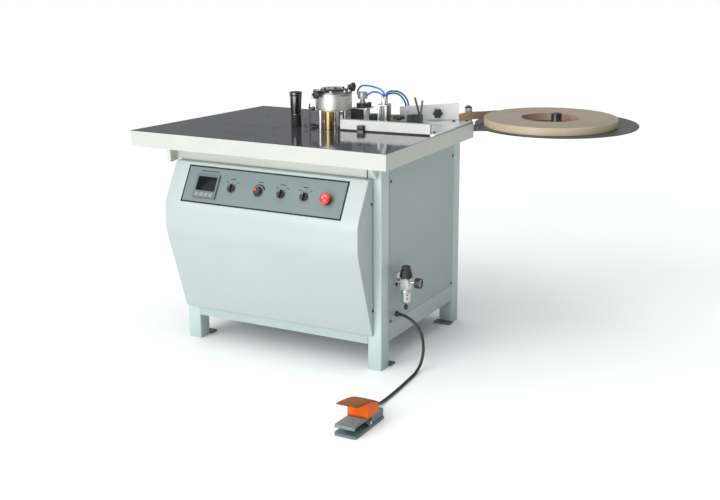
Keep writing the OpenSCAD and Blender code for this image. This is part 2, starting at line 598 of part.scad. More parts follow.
module lid_solid() translate([pot_c[0], pot_c[1], pot_z + pot_h]) {
  translate([0, 0, 0.3]) cylinder(r = pot_d / 2 + 1, h = 7, $fn = 72);
  // bridge bar from the front left to the rear right, with an ear at each end
  translate([-30, -77, 7.2]) rotate([0, 0, 57.2]) translate([0, -8, 0]) cube([134, 16, 8]);
  translate([-40, -81, -9]) cube([20, 7, 24.2]);
  translate([41, 42, 7.2]) cube([9, 26, 22]);
  for (p = [[-22, -34], [4, 6], [24, 38]]) translate([p[0], p[1], 15]) cylinder(r = 6.5, h = 6, $fn = 6);
  // hinge barrel on the left
  rotate([0, 0, 90]) {
    translate([-13, pot_d / 2 - 8, 0.4]) cube([26, 24, 6.9]);
    translate([-13, pot_d / 2 + 4, -12]) cube([26, 12, 14]);
    translate([-13, pot_d / 2 + 10, -12]) rotate([0, 90, 0]) cylinder(r = 8, h = 26);
    translate([-26, pot_d / 2 + 10, -12]) rotate([0, 90, 0]) cylinder(r = 4, h = 52);
  }
}
module pot_knob_left() color([0.07, 0.07, 0.08]) translate([pot_c[0] - 30, pot_c[1] - 81, pot_z + pot_h])
  rotate([90, 0, 0]) {
    translate([0, 0, 0.3]) cylinder(r = 8, h = 6);
    translate([0, 0, -6]) cylinder(r = 4, h = 8, $fn = 28);
    translate([0, 0, 5]) star(18.5, 15);
  }
module pot_knob_right() color([0.07, 0.07, 0.08])
  translate([pot_c[0] + 50, pot_c[1] + 55, pot_z + pot_h + 20]) rotate([0, 90, 0]) {
    translate([0, 0, 0.3]) cylinder(r = 8, h = 5);
    translate([0, 0, -8]) cylinder(r = 4, h = 10, $fn = 28);
    translate([0, 0, 4]) star(20, 14);
  }
module pot_stand() color([0.80, 0.81, 0.82]) {
  for (p = [[3, -27, 11.5], [62, 5, 9.5], [82, 36, 6]]) translate([p[0], p[1], table_h + 0.1])
    cylinder(r = p[2], h = pot_gap - 0.2);
  translate([-10, 74, pz + 0.1]) cube([36, 20, pot_gap - plate_t - 0.2]);
}
module guide_bracket() color([0.62, 0.64, 0.66]) {
  translate([-82, -20, table_h + 0.1]) cube([62, 16, 8]);
  translate([-60, -12, table_h + 8]) cylinder(r = 3, h = 86, $fn = 28);
  translate([-84, -15, 903]) cube([66, 6, 4]);
  translate([-64, -16, 950]) cube([22, 8, 10]);
  translate([-47, -12, 955]) rotate([0, 90, 0]) cylinder(r = 8, h = 10, $fn = 36);
  translate([-36, -26, table_h + 5]) cylinder(r = 14, h = 7);
  translate([-40, -24, table_h + 2]) cube([8, 14, 6]);
  // clamp block with its thumb screw at the foot of the guide rail
  at_rail(80, -16, table_h + 0.1) cube([26, 15.8, 20]);
  at_rail(93, -8, table_h + 20) cylinder(r = 5, h = 6, $fn = 28);
}
// ---------------------------------------------------------------- drive under the table
module gearmotor() color([0.24, 0.34, 0.42]) {
  mx = motor_c[0];
  my = motor_c[1];
  difference() {
    union() {
      translate([mx - 72, my - 56, slab_z - 60]) cube([128, 112, 8]);
      for (p = [[-60, -46], [-60, 46], [46, -46], [46, 46]]) translate([mx + p[0], my + p[1], slab_z - 53])
        cylinder(r = 6, h = 52.8);
      translate([mx - 45, my - 45, slab_z - 130]) cube([90, 90, 71]);
      translate([mx, my, slab_z - 280]) cylinder(r = 44, h = 151);
    }
    translate([mx, my, slab_z - 110]) cylinder(r = 10.06, h = 80);
  }
}
module drive_sprocket() color([0.35, 0.35, 0.36]) translate([motor_c[0], motor_c[1], 0]) {
  translate([0, 0, slab_z - 108]) cylinder(r = 10, h = 84);
  translate([0, 0, spr_z]) sprocket();
}
module drive_chain() color([0.22, 0.22, 0.23]) translate([0, 0, spr_z + 1]) linear_extrude(6) difference() {
  hull() for (c = [press_c, glue_c, feed_c, motor_c]) translate(c) circle(r = 29.5);
  hull() for (c = [press_c, glue_c, feed_c, motor_c]) translate(c) circle(r = 24.6);
}
// ---------------------------------------------------------------- reel
module reel_arm() color([0.28, 0.29, 0.30]) {
  ax = 470;
  ay = ty1 + 30;
  translate([380, ty1 + 0.2, 818]) cube([126, 8, 39]);
  translate([0, 0, 838]) linear_extrude(20) {
    translate([430, ty1 + 4]) square([76, 56]);
    translate([ax, ay]) rotate(atan2(reel_c[1] - ay, reel_c[0] - ax)) translate([0, -25])
      square([norm([reel_c[0] - ax, reel_c[1] - ay]) - 6, 50]);
    translate(reel_c) circle(r = 34);
  }
  translate([reel_c[0], reel_c[1], 848]) cylinder(r = 10, h = 67);
}
module guide_post() color([0.84, 0.85, 0.86]) translate([468, 430, 858.1]) {
  cylinder(r = 16, h = 76);
  translate([0, 0, 76]) cylinder(r1 = 16, r2 = 5, h = 9);
}
module reel_tray() color([0.30, 0.31, 0.34]) translate([reel_c[0], reel_c[1], tray_z]) difference() {
  union() {
    cylinder(r = tray_d / 2, h = 4, $fn = 120);
    cylinder(r = 22.5, h = 49);
    translate([0, 0, -3]) cylinder(r = 24, h = 4);
  }
  translate([0, 0, -5]) cylinder(r = 10.05, h = 60);
}
module tape_roll() color([0.80, 0.72, 0.62]) translate([roll_c[0], roll_c[1], tray_z + 4.3]) difference() {
  cylinder(r = roll_d / 2, h = tape_w, $fn = 120);
  translate([0, 0, -1]) cylinder(r = core_d / 2, h = tape_w + 2, $fn = 96);
}
tape_pts = [[524.5, 619.5, 867], [508.5, 546, 873], [493, 470, 880], [480, 402, 886.6], [468, 340, 887.2],
  [462.5, 328, 887.2], [455, 322, 887.2], [430, 307.8, 887.2], [350, 262.5, 887.2],
  [248, 204.8, 887.2], [200, 177.7, 887.2], [160, 155.1, 887.2], [120, 132.5, 887.2]];
module tape_strand() color([0.82, 0.66, 0.55]) {
  n = len(tape_pts);
  d = [for (i = [0 : n - 1]) let (t = tape_pts[min(n - 1, i + 1)] - tape_pts[max(0, i - 1)])
    vunit([-t[1], t[0], 0]) * 0.5];
  pts = [for (i = [0 : n - 1]) each [tape_pts[i] - d[i], tape_pts[i] + d[i],
    tape_pts[i] + d[i] + [0, 0, tape_w], tape_pts[i] - d[i] + [0, 0, tape_w]]];
  polyhedron(points = pts, convexity = 4, faces = concat([[0, 1, 2, 3]],
    [[4 * n - 1, 4 * n - 2, 4 * n - 3, 4 * n - 4]],
    [for (i = [0 : n - 2]) for (k = [0 : 3]) let (a = 4 * i + k, b = 4 * i + (k + 1) % 4)
      [a, a + 4, b + 4, b]]));
}

corner_posts();
cross_rails();
floor_brackets();
cabinet_panels();
hood();
screws();
table_supports();
front_board();
rear_board();
laminates();
shaft_bushes();
control_plate();
temp_controller();
switch_collars();
mode_switch();
heat_switch();
cut_switch();
speed_knob();
estop_button();
electrics_box();
regulator_body();
regulator_knob();
filter_bowl();
drain_valve();
pressure_gauge();
air_hoses();
cable_gland();
pedal_cable();
pedal_base();
pedal_treadle();
pedal_guard();
base_plate();
guide_rail();
rear_fence();
fence_knob();
stop_knob();
tape_guides();
feed_cylinder();
cutter_body();
cutter_cylinder();
cutter_blade();
air_manifold();
feed_roller();
glue_roller();
press_roller();
press_sleeve();
glue_pot();
pot_lid();
pot_knob_left();
pot_knob_right();
pot_stand();
guide_bracket();
gearmotor();
drive_sprocket();
drive_chain();
reel_arm();
guide_post();
reel_tray();
tape_roll();
tape_strand();
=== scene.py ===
import json
import math
import bmesh
import bpy
import numpy as np
from mathutils import Matrix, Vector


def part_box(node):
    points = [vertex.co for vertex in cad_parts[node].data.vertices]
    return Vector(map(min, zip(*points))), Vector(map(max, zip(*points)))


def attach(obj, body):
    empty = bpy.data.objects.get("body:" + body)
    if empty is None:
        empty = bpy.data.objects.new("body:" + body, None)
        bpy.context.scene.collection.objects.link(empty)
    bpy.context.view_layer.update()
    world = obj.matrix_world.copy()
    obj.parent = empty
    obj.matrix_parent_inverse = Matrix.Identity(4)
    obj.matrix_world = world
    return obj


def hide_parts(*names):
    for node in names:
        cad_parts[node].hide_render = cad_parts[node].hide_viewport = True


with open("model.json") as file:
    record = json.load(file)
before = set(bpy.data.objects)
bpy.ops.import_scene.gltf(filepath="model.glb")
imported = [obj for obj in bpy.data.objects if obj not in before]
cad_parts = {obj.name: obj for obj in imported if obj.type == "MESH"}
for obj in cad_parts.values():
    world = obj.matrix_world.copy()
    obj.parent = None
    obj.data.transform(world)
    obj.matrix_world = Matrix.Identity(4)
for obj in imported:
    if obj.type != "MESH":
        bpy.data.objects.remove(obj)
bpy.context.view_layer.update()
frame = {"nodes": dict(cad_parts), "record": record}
nodes = frame["nodes"]
record = frame["record"]
joints = {j["name"]: j for j in record["behaviour"]["joints"]}
scene = bpy.context.scene
scene.view_settings.view_transform = "Standard"
print("frame loaded:", len(nodes), "nodes")

# ---- camera
cameraPlace = {"at": (2.49475, -4.33427, 1.71213), "yaw": 28.22, "pitch": 15.278, "roll": -0.257, "lens": 60.475}
yaw, pitch, roll = (math.radians(cameraPlace[k]) for k in ("yaw", "pitch", "roll"))
ahead = np.array([-math.sin(yaw) * math.cos(pitch), math.cos(yaw) * math.cos(pitch), -math.sin(pitch)])
right = np.array([math.cos(yaw), math.sin(yaw), 0.0])
up = np.cross(right, ahead)
rightRolled = math.cos(roll) * right + math.sin(roll) * up
upRolled = math.cos(roll) * up - math.sin(roll) * right
cameraData = bpy.data.cameras.new("studioCamera")
cameraData.lens, cameraData.sensor_width, cameraData.sensor_fit = cameraPlace["lens"], 36.0, "HORIZONTAL"
cameraData.clip_end = 200
camera = bpy.data.objects.new("studioCamera", cameraData)
scene.collection.objects.link(camera)
turn = np.eye(4)
turn[:3, 0], turn[:3, 1], turn[:3, 2], turn[:3, 3] = rightRolled, upRolled, -ahead, cameraPlace["at"]
camera.matrix_world = Matrix(turn.tolist())
scene.camera = camera


# ---- mesh helpers, all on whole arrays
def gridFaces(rows, cols, closeRows=False, closeCols=False):
    # quads of a rows x cols grid: corner (i, j), (i+1, j), (i+1, j+1), (i, j+1)
    i = np.arange(rows if closeRows else rows - 1)[:, None]
    j = np.arange(cols if closeCols else cols - 1)[None, :]
    a, b = i * cols + j, ((i + 1) % rows) * cols + j
    c, d = ((i + 1) % rows) * cols + (j + 1) % cols, i * cols + (j + 1) % cols
    return np.stack([a, b, c, d], axis=-1).reshape(-1, 4)


def makePiece(name, verts, faces, material, body, sharp=35, replace=(), slot=None):
    # points and faces into one mesh, doubles merged, normals outwards, creases by angle
    mesh = bpy.data.meshes.new(name)
    mesh.from_pydata(np.asarray(verts, float).reshape(-1, 3).tolist(), [], [list(map(int, f)) for f in faces])
    work = bmesh.new()
    work.from_mesh(mesh)
    bmesh.ops.remove_doubles(work, verts=work.verts, dist=2e-6)
    bmesh.ops.dissolve_degenerate(work, edges=work.edges, dist=1e-6)
    bmesh.ops.recalc_face_normals(work, faces=work.faces)
    work.to_mesh(mesh)
    work.free()
    mesh.polygons.foreach_set("use_smooth", np.ones(len(mesh.polygons), bool))
    mesh.set_sharp_from_angle(angle=math.radians(sharp))
    mesh.materials.append(material)
    piece = bpy.data.objects.new(name, mesh)
    scene.collection.objects.link(piece)
    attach(piece, body)
    if replace:
        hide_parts(*replace)
    return piece


def thicken(piece, amount, offset=-1):
    wall = piece.modifiers.new("wall", "SOLIDIFY")
    wall.thickness, wall.offset = amount, offset
    return piece


def smoothPath(knots, per):
    # Catmull-Rom: half of (2b + (c-a)t + (2a-5b+4c-d)t^2 + (3b-a-3c+d)t^3) between knots b and c
    k = np.asarray(knots, float)
    n = len(k)
    seg = np.repeat(np.arange(n - 1), per)
    t = np.tile(np.arange(per) / per, n - 1)[:, None]
    a, b, c, d = k[np.maximum(seg - 1, 0)], k[seg], k[seg + 1], k[np.minimum(seg + 2, n - 1)]
    p = 0.5 * (2 * b + (c - a) * t + (2 * a - 5 * b + 4 * c - d) * t**2 + (3 * b - a - 3 * c + d) * t**3)
    return np.vstack([p, k[-1:]])


def tubeGrid(path, radius, sides):
    # circle of the given radius carried along the path; each ring's frame is the last one turned with the tangent
    p = np.asarray(path, float)
    t = np.gradient(p, axis=0)
    t /= np.linalg.norm(t, axis=1, keepdims=True)
    side = np.cross(t[0], [0, 0, 1.0]) if abs(t[0][2]) < 0.9 else np.cross(t[0], [0, 1.0, 0])
    sides1 = []
    for k in range(len(p)):
        side = side - t[k] * (side @ t[k])
        side /= np.linalg.norm(side)
        sides1.append(side)
    a = np.array(sides1)
    b = np.cross(t, a)
    ang = np.linspace(0, 2 * np.pi, sides, endpoint=False)
    r = np.broadcast_to(np.asarray(radius, float).reshape(-1, 1, 1), (len(p), 1, 1))
    return p[:, None] + r * (np.cos(ang)[None, :, None] * a[:, None] + np.sin(ang)[None, :, None] * b[:, None])


def cappedTube(path, radius, sides):
    # the tube with both ends closed by shrinking its first and last ring to a point
    g = tubeGrid(path, radius, sides)
    first = np.broadcast_to(g[0].mean(0), g[0].shape)[None]
    last = np.broadcast_to(g[-1].mean(0), g[-1].shape)[None]
    g = np.concatenate([first, g, last])
    return g.reshape(-1, 3), gridFaces(g.shape[0], sides, closeCols=True)


def joinParts(parts):
    verts, faces, base = [], [], 0
    for v, f in parts:
        v = np.asarray(v, float).reshape(-1, 3)
        verts.append(v)
        faces += [[int(i) + base for i in face] for face in f]
        base += len(v)
    return np.vstack(verts), faces


def axisFrame(axis, lean=(0, 0, 1)):
    # rotation whose third column is the axis, and whose second column leans to the given direction
    z = np.array(axis, float)
    z /= np.linalg.norm(z)
    y = np.array(lean, float) - z * np.dot(lean, z)
    if np.linalg.norm(y) < 1e-3:
        y = np.array([0, 1.0, 0]) - z * z[1]
    y /= np.linalg.norm(y)
    return np.stack([np.cross(y, z), y, z], axis=1)


def turnedFrame(degrees, at):
    # axes turned about the upright, with their origin, as roundBox takes them
    c, s = math.cos(math.radians(degrees)), math.sin(math.radians(degrees))
    return np.array([[c, -s, 0], [s, c, 0], [0, 0, 1.0]]), at


def waved(depth, count, beyond=-1.0):
    # flutes: radius falls by depth * (1 + cos(count * angle)) / 2 where it is larger than beyond, in metres
    return lambda angle, radius: 1 - depth * (0.5 + 0.5 * np.cos(count * angle)) * (radius > beyond)


def lathe(profile, centre=(0, 0, 0), axis=(0, 0, 1), steps=64, shape=None):
    # profile (radius, height) in mm turned about the axis; shape(angle, radius) may swell or cut the radius
    prof = np.asarray(profile, float) * 0.001
    ang = np.linspace(0, 2 * np.pi, steps, endpoint=False)
    r = prof[:, :1] * np.ones(steps)
    if shape is not None:
        r = shape(ang[None, :], prof[:, :1]) * r
    local = np.stack([r * np.cos(ang), r * np.sin(ang), prof[:, 1:2] * np.ones(steps)], axis=-1)
    verts = local.reshape(-1, 3) @ axisFrame(axis).T + np.asarray(centre, float)
    return verts, gridFaces(len(prof), steps, closeCols=True)


def roundBox(lo, hi, r, frameAt=None, n=4):
    # a ball of radius r split at its three middle planes and pulled apart to the box's size, all in mm
    lo, hi = np.array(lo, float), np.array(hi, float)
    r = min(r, 0.49 * (hi - lo).min())
    q = np.linspace(0, np.pi / 2, n)
    lon = np.concatenate([q + k * np.pi / 2 for k in range(4)])
    lat = np.concatenate([q - np.pi / 2, q])
    la, lo2 = np.meshgrid(lat, lon, indexing="ij")
    sx = np.where(np.isin(np.arange(len(lon)) // n, (0, 3)), 1, -1)[None, :] * np.ones_like(la)
    sy = np.where(np.isin(np.arange(len(lon)) // n, (0, 1)), 1, -1)[None, :] * np.ones_like(la)
    sz = np.where(np.arange(len(lat)) // n == 1, 1, -1)[:, None] * np.ones_like(la)
    half, mid = (hi - lo) / 2 - r, (hi + lo) / 2
    p = np.stack([mid[0] + sx * half[0] + r * np.cos(la) * np.cos(lo2),
        mid[1] + sy * half[1] + r * np.cos(la) * np.sin(lo2),
                  mid[2] + sz * half[2] + r * np.sin(la)], axis=-1)
    cap0 = np.broadcast_to(p[0].mean(0), p[0].shape)[None]
    cap1 = np.broadcast_to(p[-1].mean(0), p[-1].shape)[None]
    p = np.concatenate([cap0, p, cap1]) * 0.001
    verts = p.reshape(-1, 3)
    if frameAt is not None:
        verts = verts @ frameAt[0].T + np.asarray(frameAt[1], float)
    return verts, gridFaces(p.shape[0], p.shape[1], closeCols=True)


# ---- materials
def addNode(tree, kind, inputs, **settings):
    # a node with its settings; an input given a socket is linked to it, and any other value is set
    node = tree.nodes.new("ShaderNode" + kind)
    for key, value in settings.items():
        setattr(node, key, value)
    for key, value in inputs.items():
        if isinstance(value, bpy.types.NodeSocket):
            tree.links.new(value, node.inputs[key])
        else:
            node.inputs[key].default_value = value
    return node


def mapRange(tree, value, start, end, low=0, high=1):
    ends = {"Value": value, "From Min": start, "From Max": end, "To Min": low, "To Max": high}
    return addNode(tree, "MapRange", ends).outputs["Result"]


def mixTones(tree, share, first, second):
    return addNode(tree, "Mix", {0: share, 6: first, 7: second}, data_type="RGBA").outputs[2]


def finish(name, **spec):
    # one node set for every finish: cloudy colour, fine grain into roughness and bump, darker towards the floor by
    # height where asked
    mat = bpy.data.materials.new(name)
    mat.use_nodes = True
    tree = mat.node_tree
    shader = tree.nodes["Principled BSDF"]
    coords = addNode(tree, "TexCoord", {}).outputs["Object"]
    mapping = addNode(tree, "Mapping", {"Vector": coords, "Scale": spec.get("stretch", (1, 1, 1)),
                                        "Rotation": (0, 0, math.radians(spec.get("turn", 0)))})
    cloud = addNode(tree, "TexNoise", {"Vector": coords, "Scale": spec.get("cloud", 6), "Detail": 4}).outputs["Fac"]
    grain = addNode(tree, "TexNoise", {"Vector": mapping.outputs["Vector"], "Scale": spec.get("grain", 400),
                                       "Detail": 3}).outputs["Fac"]
    colour = mixTones(tree, mapRange(tree, cloud, 0.35, 0.65), (*spec["colour"], 1),
                      (*spec.get("second", spec["colour"]), 1))
    if "fleck" in spec:  # fine grain tints the colour too
        colour = mixTones(tree, mapRange(tree, grain, 0.45, 0.7), colour, (*spec["fleck"], 1))
    if "lowDarkening" in spec:  # greyer towards the floor
        parts = addNode(tree, "SeparateXYZ", {"Vector": coords})
        low, high, share = spec["lowDarkening"]
        colour = mixTones(tree, mapRange(tree, parts.outputs["Z"], low, high, share, 0), colour,
            (0.20, 0.23, 0.23, 1))
    bump = addNode(tree, "Bump", {"Strength": spec.get("bump", 0.1), "Distance": spec.get("depth", 0.0004),
                                  "Height": grain})
    tree.links.new(colour, shader.inputs["Base Color"])
    tree.links.new(mapRange(tree, grain, 0.3, 0.7, *spec["rough"]), shader.inputs["Roughness"])
    tree.links.new(bump.outputs["Normal"], shader.inputs["Normal"])
    for socket, value in (("Metallic", spec.get("metal", 0)), ("Coat Weight", spec.get("coat", 0)),
                          ("Coat Roughness", spec.get("coatRough", 0.1)), ("Anisotropic", spec.get("anisotropy", 0)),
                          ("Specular IOR Level", spec.get("specular", 0.5))):
        shader.inputs[socket].default_value = value
    return mat


def ringFinish(name, **spec):
    # turned or coiled surface: rings about one upright axis, from the distance to it
    mat = finish(name, **spec)
    tree = mat.node_tree
    shader = tree.nodes["Principled BSDF"]
    colour, normal = shader.inputs["Base Color"], shader.inputs["Normal"]
    centre = addNode(tree, "Mapping", {"Vector": addNode(tree, "TexCoord", {}).outputs["Object"], "Scale": (1, 1, 0),
                                       "Location": (-spec["centre"][0], -spec["centre"][1], 0)})
    far = addNode(tree, "VectorMath", {0: centre.outputs["Vector"]}, operation="LENGTH").outputs["Value"]
    rings = addNode(tree, "TexNoise", {}, noise_dimensions="1D")
    rings.inputs["Scale"].default_value, rings.inputs["Detail"].default_value = spec["rings"], 3
    tree.links.new(far, rings.inputs["W"])
    rings = rings.outputs["Fac"]
    bump = addNode(tree, "Bump", {"Strength": spec["ringBump"], "Distance": 0.0005, "Height": rings,
                                  "Normal": normal.links[0].from_socket})
    share = mapRange(tree, rings, 0.42, 0.66, 0, spec["ringShare"])
    tree.links.new(mixTones(tree, share, colour.links[0].from_socket, (*spec["ringColour"], 1)), colour)
    tree.links.new(bump.outputs["Normal"], normal)
    return mat


def dress(material, *names):
    for n in names:
        mesh = nodes[n].data
        mesh.materials.clear()
        mesh.materials.append(material)


powderCoat = {"colour": (0.385, 0.465, 0.458), "second": (0.37, 0.45, 0.443), "cloud": 3, "grain": 700,
    "rough": (0.34, 0.44),
              "bump": 0.06, "depth": 0.0003, "coat": 0.25, "coatRough": 0.25, "lowDarkening": (0.0, 0.16, 0.3)}
paint = finish("powderCoat", **powderCoat)
hoodPaint = finish("hoodCoat", **dict(powderCoat, colour=(0.415, 0.47, 0.465), second=(0.40, 0.455, 0.45)))
darkPaint = finish("bracketPaint", colour=(0.13, 0.15, 0.15), second=(0.10, 0.115, 0.115), cloud=12, grain=500,
    rough=(0.45, 0.6), bump=0.12)
blackOxide = finish("blackOxide", colour=(0.030, 0.032, 0.034), second=(0.05, 0.05, 0.05), cloud=40, grain=900,
    rough=(0.3, 0.45), metal=0.3, bump=0.1)
blackPlastic = finish("mouldedBlack", colour=(0.018, 0.018, 0.020), second=(0.026, 0.026, 0.028), cloud=60,
    grain=1400, rough=(0.32, 0.48), bump=0.15, depth=0.0002)
zincAlloy = finish("castAlloy", colour=(0.66, 0.67, 0.66), second=(0.54, 0.55, 0.54), cloud=30, grain=600,
    rough=(0.28, 0.44), metal=0.85, bump=0.12)
polished = finish("polishedSteel", colour=(0.70, 0.70, 0.69), second=(0.60, 0.60, 0.60), cloud=14, grain=500,
    rough=(0.2, 0.34), metal=1, bump=0.03)
groundPlate = finish("groundPlate", colour=(0.80, 0.81, 0.81), second=(0.70, 0.71, 0.71), cloud=12, grain=220,
    stretch=(1, 6, 1), rough=(0.3, 0.46), metal=0.7, bump=0.04)
brass = finish("turnedBrass", colour=(0.62, 0.47, 0.20), second=(0.50, 0.36, 0.14), cloud=20, grain=120,
    stretch=(1, 1, 12), rough=(0.2, 0.34), metal=1, bump=0.08)
rubber = finish("groundRubber", colour=(0.012, 0.012, 0.013), second=(0.02, 0.02, 0.02), cloud=50, grain=900,
    rough=(0.5, 0.7), bump=0.3)
print("materials ready")

# ---- pedal cable
cableSpec = {"diameter": 0.012, "sides": 20, "per": 6}
cableKnots = np.array([[468.6, -241, 201], [478, -241.2, 201], [492, -243, 200], [523, -246, 190], [555, -250, 169],
    [578, -256, 138],
                       [590, -263, 101], [594, -273, 66], [594, -290, 34], [592, -316, 13], [595, -352, 7],
                       [601, -420, 6.6],
                       [607, -500, 6.6], [611, -580, 6.6], [613, -650, 8], [618, -700, 14], [628, -740, 22],
                       [635, -762, 24],
                       [636, -776, 24], [636, -790, 24]]) * 0.001
cablePath = smoothPath(cableKnots, cableSpec["per"])
sheath = finish("cableSheath", colour=(0.014, 0.014, 0.016), second=(0.022, 0.022, 0.024), cloud=30, grain=700,
    rough=(0.38, 0.52), bump=0.2, depth=0.0002)
cableVerts, cableFaces = cappedTube(cablePath, cableSpec["diameter"] / 2 - 0.00005, cableSpec["sides"])
cable = makePiece("pedalCable", cableVerts, cableFaces, sheath, "frame", replace=("pedal_cable",), slot="cable_black")

# ---- blue air hoses, held at both ends
hoseSpec = {"radius": 0.0039, "sides": 14, "per": 8}
hoseRoutes = {
    "loopUpper": [[221.5, 118.5, 996], [221.5, 118.5, 1008], [220, 118, 1020], [211, 118, 1030], [192, 119, 1038],
                  [155, 124, 1044], [120, 132, 1043], [100, 138, 1036], [87, 142, 1022], [84, 143, 1010],
                  [86, 141.5, 1003],
                  [92, 139, 1000]],
    "loopLower": [[221.5, 107.5, 996], [221, 107.5, 1006], [216, 108.5, 1014], [207, 110.5, 1019], [190, 114, 1022],
                  [166, 121, 1020], [148, 126, 1011], [136.2, 128, 1004]],
    "overFront": [[232.5, 107.5, 996], [233, 108, 1008], [236, 112, 1019], [244, 130, 1027], [257, 165, 1023],
                  [267, 200, 1008], [273, 226, 984], [272, 244, 962], [268, 252, 930], [266, 254, 905],
                  [266, 254, 886.2]],
    "overRear": [[232.5, 118.5, 996], [232.5, 119, 1006], [234, 126, 1013], [238, 146, 1016], [246, 174, 1013],
                 [255, 206, 999], [260, 229, 976], [260, 246, 954], [257, 256, 925], [255, 258, 905],
                 [255, 258, 886.2]],
    "panelHose": [[469.9, -238, 322], [460, -238, 322], [446, -238, 323], [424, -240, 332], [392, -248, 344],
                  [350, -262, 352], [310, -270, 355], [290.2, -271, 355]]}
hoseBlue = finish("hoseBlue", colour=(0.01, 0.16, 0.50), second=(0.015, 0.21, 0.58), cloud=30, grain=300,
    rough=(0.2, 0.3), bump=0.02, coat=0.4)
makePiece("airHoses", *joinParts([cappedTube(smoothPath(np.array(r) * 0.001, hoseSpec["per"]), hoseSpec["radius"],
          hoseSpec["sides"]) for r in hoseRoutes.values()]), hoseBlue, "frame", replace=("air_hoses",),
          slot="hose_blue")
fittingSpec = {"radius": 5.6, "height": 7}
ferrule = [(0, -1), (4.4, -1), (fittingSpec["radius"], 0), (fittingSpec["radius"], fittingSpec["height"] - 1.5),
    (5, fittingSpec["height"]),
           (4.1, fittingSpec["height"])]
starts = [(x, y, 999.8) for x in (221.5, 232.5) for y in (107.5, 118.5)] + [(266, 254, 886), (255, 258, 886)]
makePiece("hoseFerrules", *joinParts([lathe(ferrule, np.array(p) * 0.001, steps=24) for p in starts]), zincAlloy,
    "frame",
          slot="zinc")
print("hoses done")

# ---- cabinet
postSpec = {"round": 0.005, "wall": 0.003, "arc": 6, "foot": 0.0005}


def postTube(lo, hi, r, n):
    # rounded rectangle: corner centres plus r(cos, sin), carried up from the floor to the slab
    q = np.linspace(0, np.pi / 2, n)
    ang = np.concatenate([q + k * np.pi / 2 for k in range(4)])
    cx = np.repeat([hi[0] - r, lo[0] + r, lo[0] + r, hi[0] - r], n)
    cy = np.repeat([hi[1] - r, hi[1] - r, lo[1] + r, lo[1] + r], n)
    loop = np.stack([cx + r * np.cos(ang), cy + r * np.sin(ang)], axis=1)
    z = np.array([lo[2], lo[2] + 0.001, hi[2] - 0.001, hi[2]])
    ring = np.concatenate([np.broadcast_to(loop[None], (4, *loop.shape)),
        np.broadcast_to(z[:, None, None], (4, len(loop), 1))], axis=2)
    return ring.reshape(-1, 3), gridFaces(4, len(loop), closeCols=True)


postLo, postHi = (np.array(p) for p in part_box("corner_posts"))
postSize = np.array([0.060, 0.066])
posts = []
for left in (True, False):
    for front in (True, False):
        corner = np.array([postLo[0] if left else postHi[0] - postSize[0],
            postLo[1] if front else postHi[1] - postSize[1]])
        posts.append(postTube((*corner, postLo[2] + postSpec["foot"]), (*(corner + postSize), postHi[2]),
            postSpec["round"], postSpec["arc"]))
# the posts get a lighter copy of the cabinet paint: painted light for their brightly lit fronts
postPaintLit = finish("postPaintLit", **dict(powderCoat, colour=(0.47, 0.565, 0.555), second=(0.455, 0.55, 0.54)))
thicken(makePiece("framePosts", *joinParts(posts), postPaintLit, "frame", replace=("corner_posts",),
    slot="cabinet_paint"), postSpec["wall"])
dress(paint, "cross_rails")
# the side panels get a darker copy of the cabinet paint: painted shade for the shaded right side
dress(finish("sidePanelPaintShaded", **dict(powderCoat, colour=(0.315, 0.385, 0.38), second=(0.30, 0.37, 0.365))),
    "cabinet_panels")
# the table supports get a lighter, warmer copy of the cabinet paint: painted light for the lit apron front
dress(finish("apronPaintLit", **dict(powderCoat, colour=(0.56, 0.58, 0.53), second=(0.54, 0.56, 0.515))),
    "table_supports")
dress(darkPaint, "floor_brackets", "reel_arm")
dress(finish("electricsPaint", **dict(powderCoat, colour=(0.34, 0.36, 0.36), second=(0.32, 0.34, 0.34))),
    "electrics_box")

# hood: one bent sheet with rounded folds, its cheeks running back to the frame
hoodLo, hoodHi = (np.array(p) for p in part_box("hood"))
hoodSpec = {"foldHigh": (-0.498, 0.610), "foldLow": (-0.498, 0.495), "topEdge": (-0.406, 0.770),
    "bottomEdge": (-0.380, 0.143),
            "foldRound": 0.030, "lipRound": 0.004, "edgeRound": 0.0035, "sheet": 0.0018, "arc": 9}


def filletedLine(points, radii, n):
    # each corner replaced by an arc-like curve: quadratic blend (1-t)^2 a + 2t(1-t) corner + t^2 b of its
    # tangent points
    out = [np.array([points[0]])]
    for k in range(1, len(points) - 1):
        a, c, b = (np.array(points[m], float) for m in (k - 1, k, k + 1))
        toA, toB = (a - c) / np.linalg.norm(a - c), (b - c) / np.linalg.norm(b - c)
        cut = min(radii[k - 1], 0.45 * np.linalg.norm(a - c), 0.45 * np.linalg.norm(b - c))
        t = np.linspace(0, 1, n)[:, None]
        out.append((1 - t) ** 2 * (c + toA * cut) + 2 * t * (1 - t) * c + t**2 * (c + toB * cut))
    out.append(np.array([points[-1]]))
    return np.vstack(out)


hoodLine = filletedLine([(hoodHi[1], hoodSpec["topEdge"][1]), hoodSpec["topEdge"], hoodSpec["foldHigh"],
    hoodSpec["foldLow"],
                         hoodSpec["bottomEdge"], (hoodHi[1], hoodSpec["bottomEdge"][1])],
                        [hoodSpec["lipRound"], hoodSpec["foldRound"], hoodSpec["foldRound"], hoodSpec["lipRound"]],
                        hoodSpec["arc"])
hoodLine[:, 0] = np.minimum(hoodLine[:, 0], hoodHi[1])
along = np.gradient(hoodLine, axis=0)
inward = np.stack([-along[:, 1], along[:, 0]], axis=1)
inward /= np.linalg.norm(inward, axis=1, keepdims=True)
inward *= 1 if inward[len(inward) // 2, 0] > 0 else -1
edge = np.linspace(0, np.pi / 2, 5)
er = hoodSpec["edgeRound"]
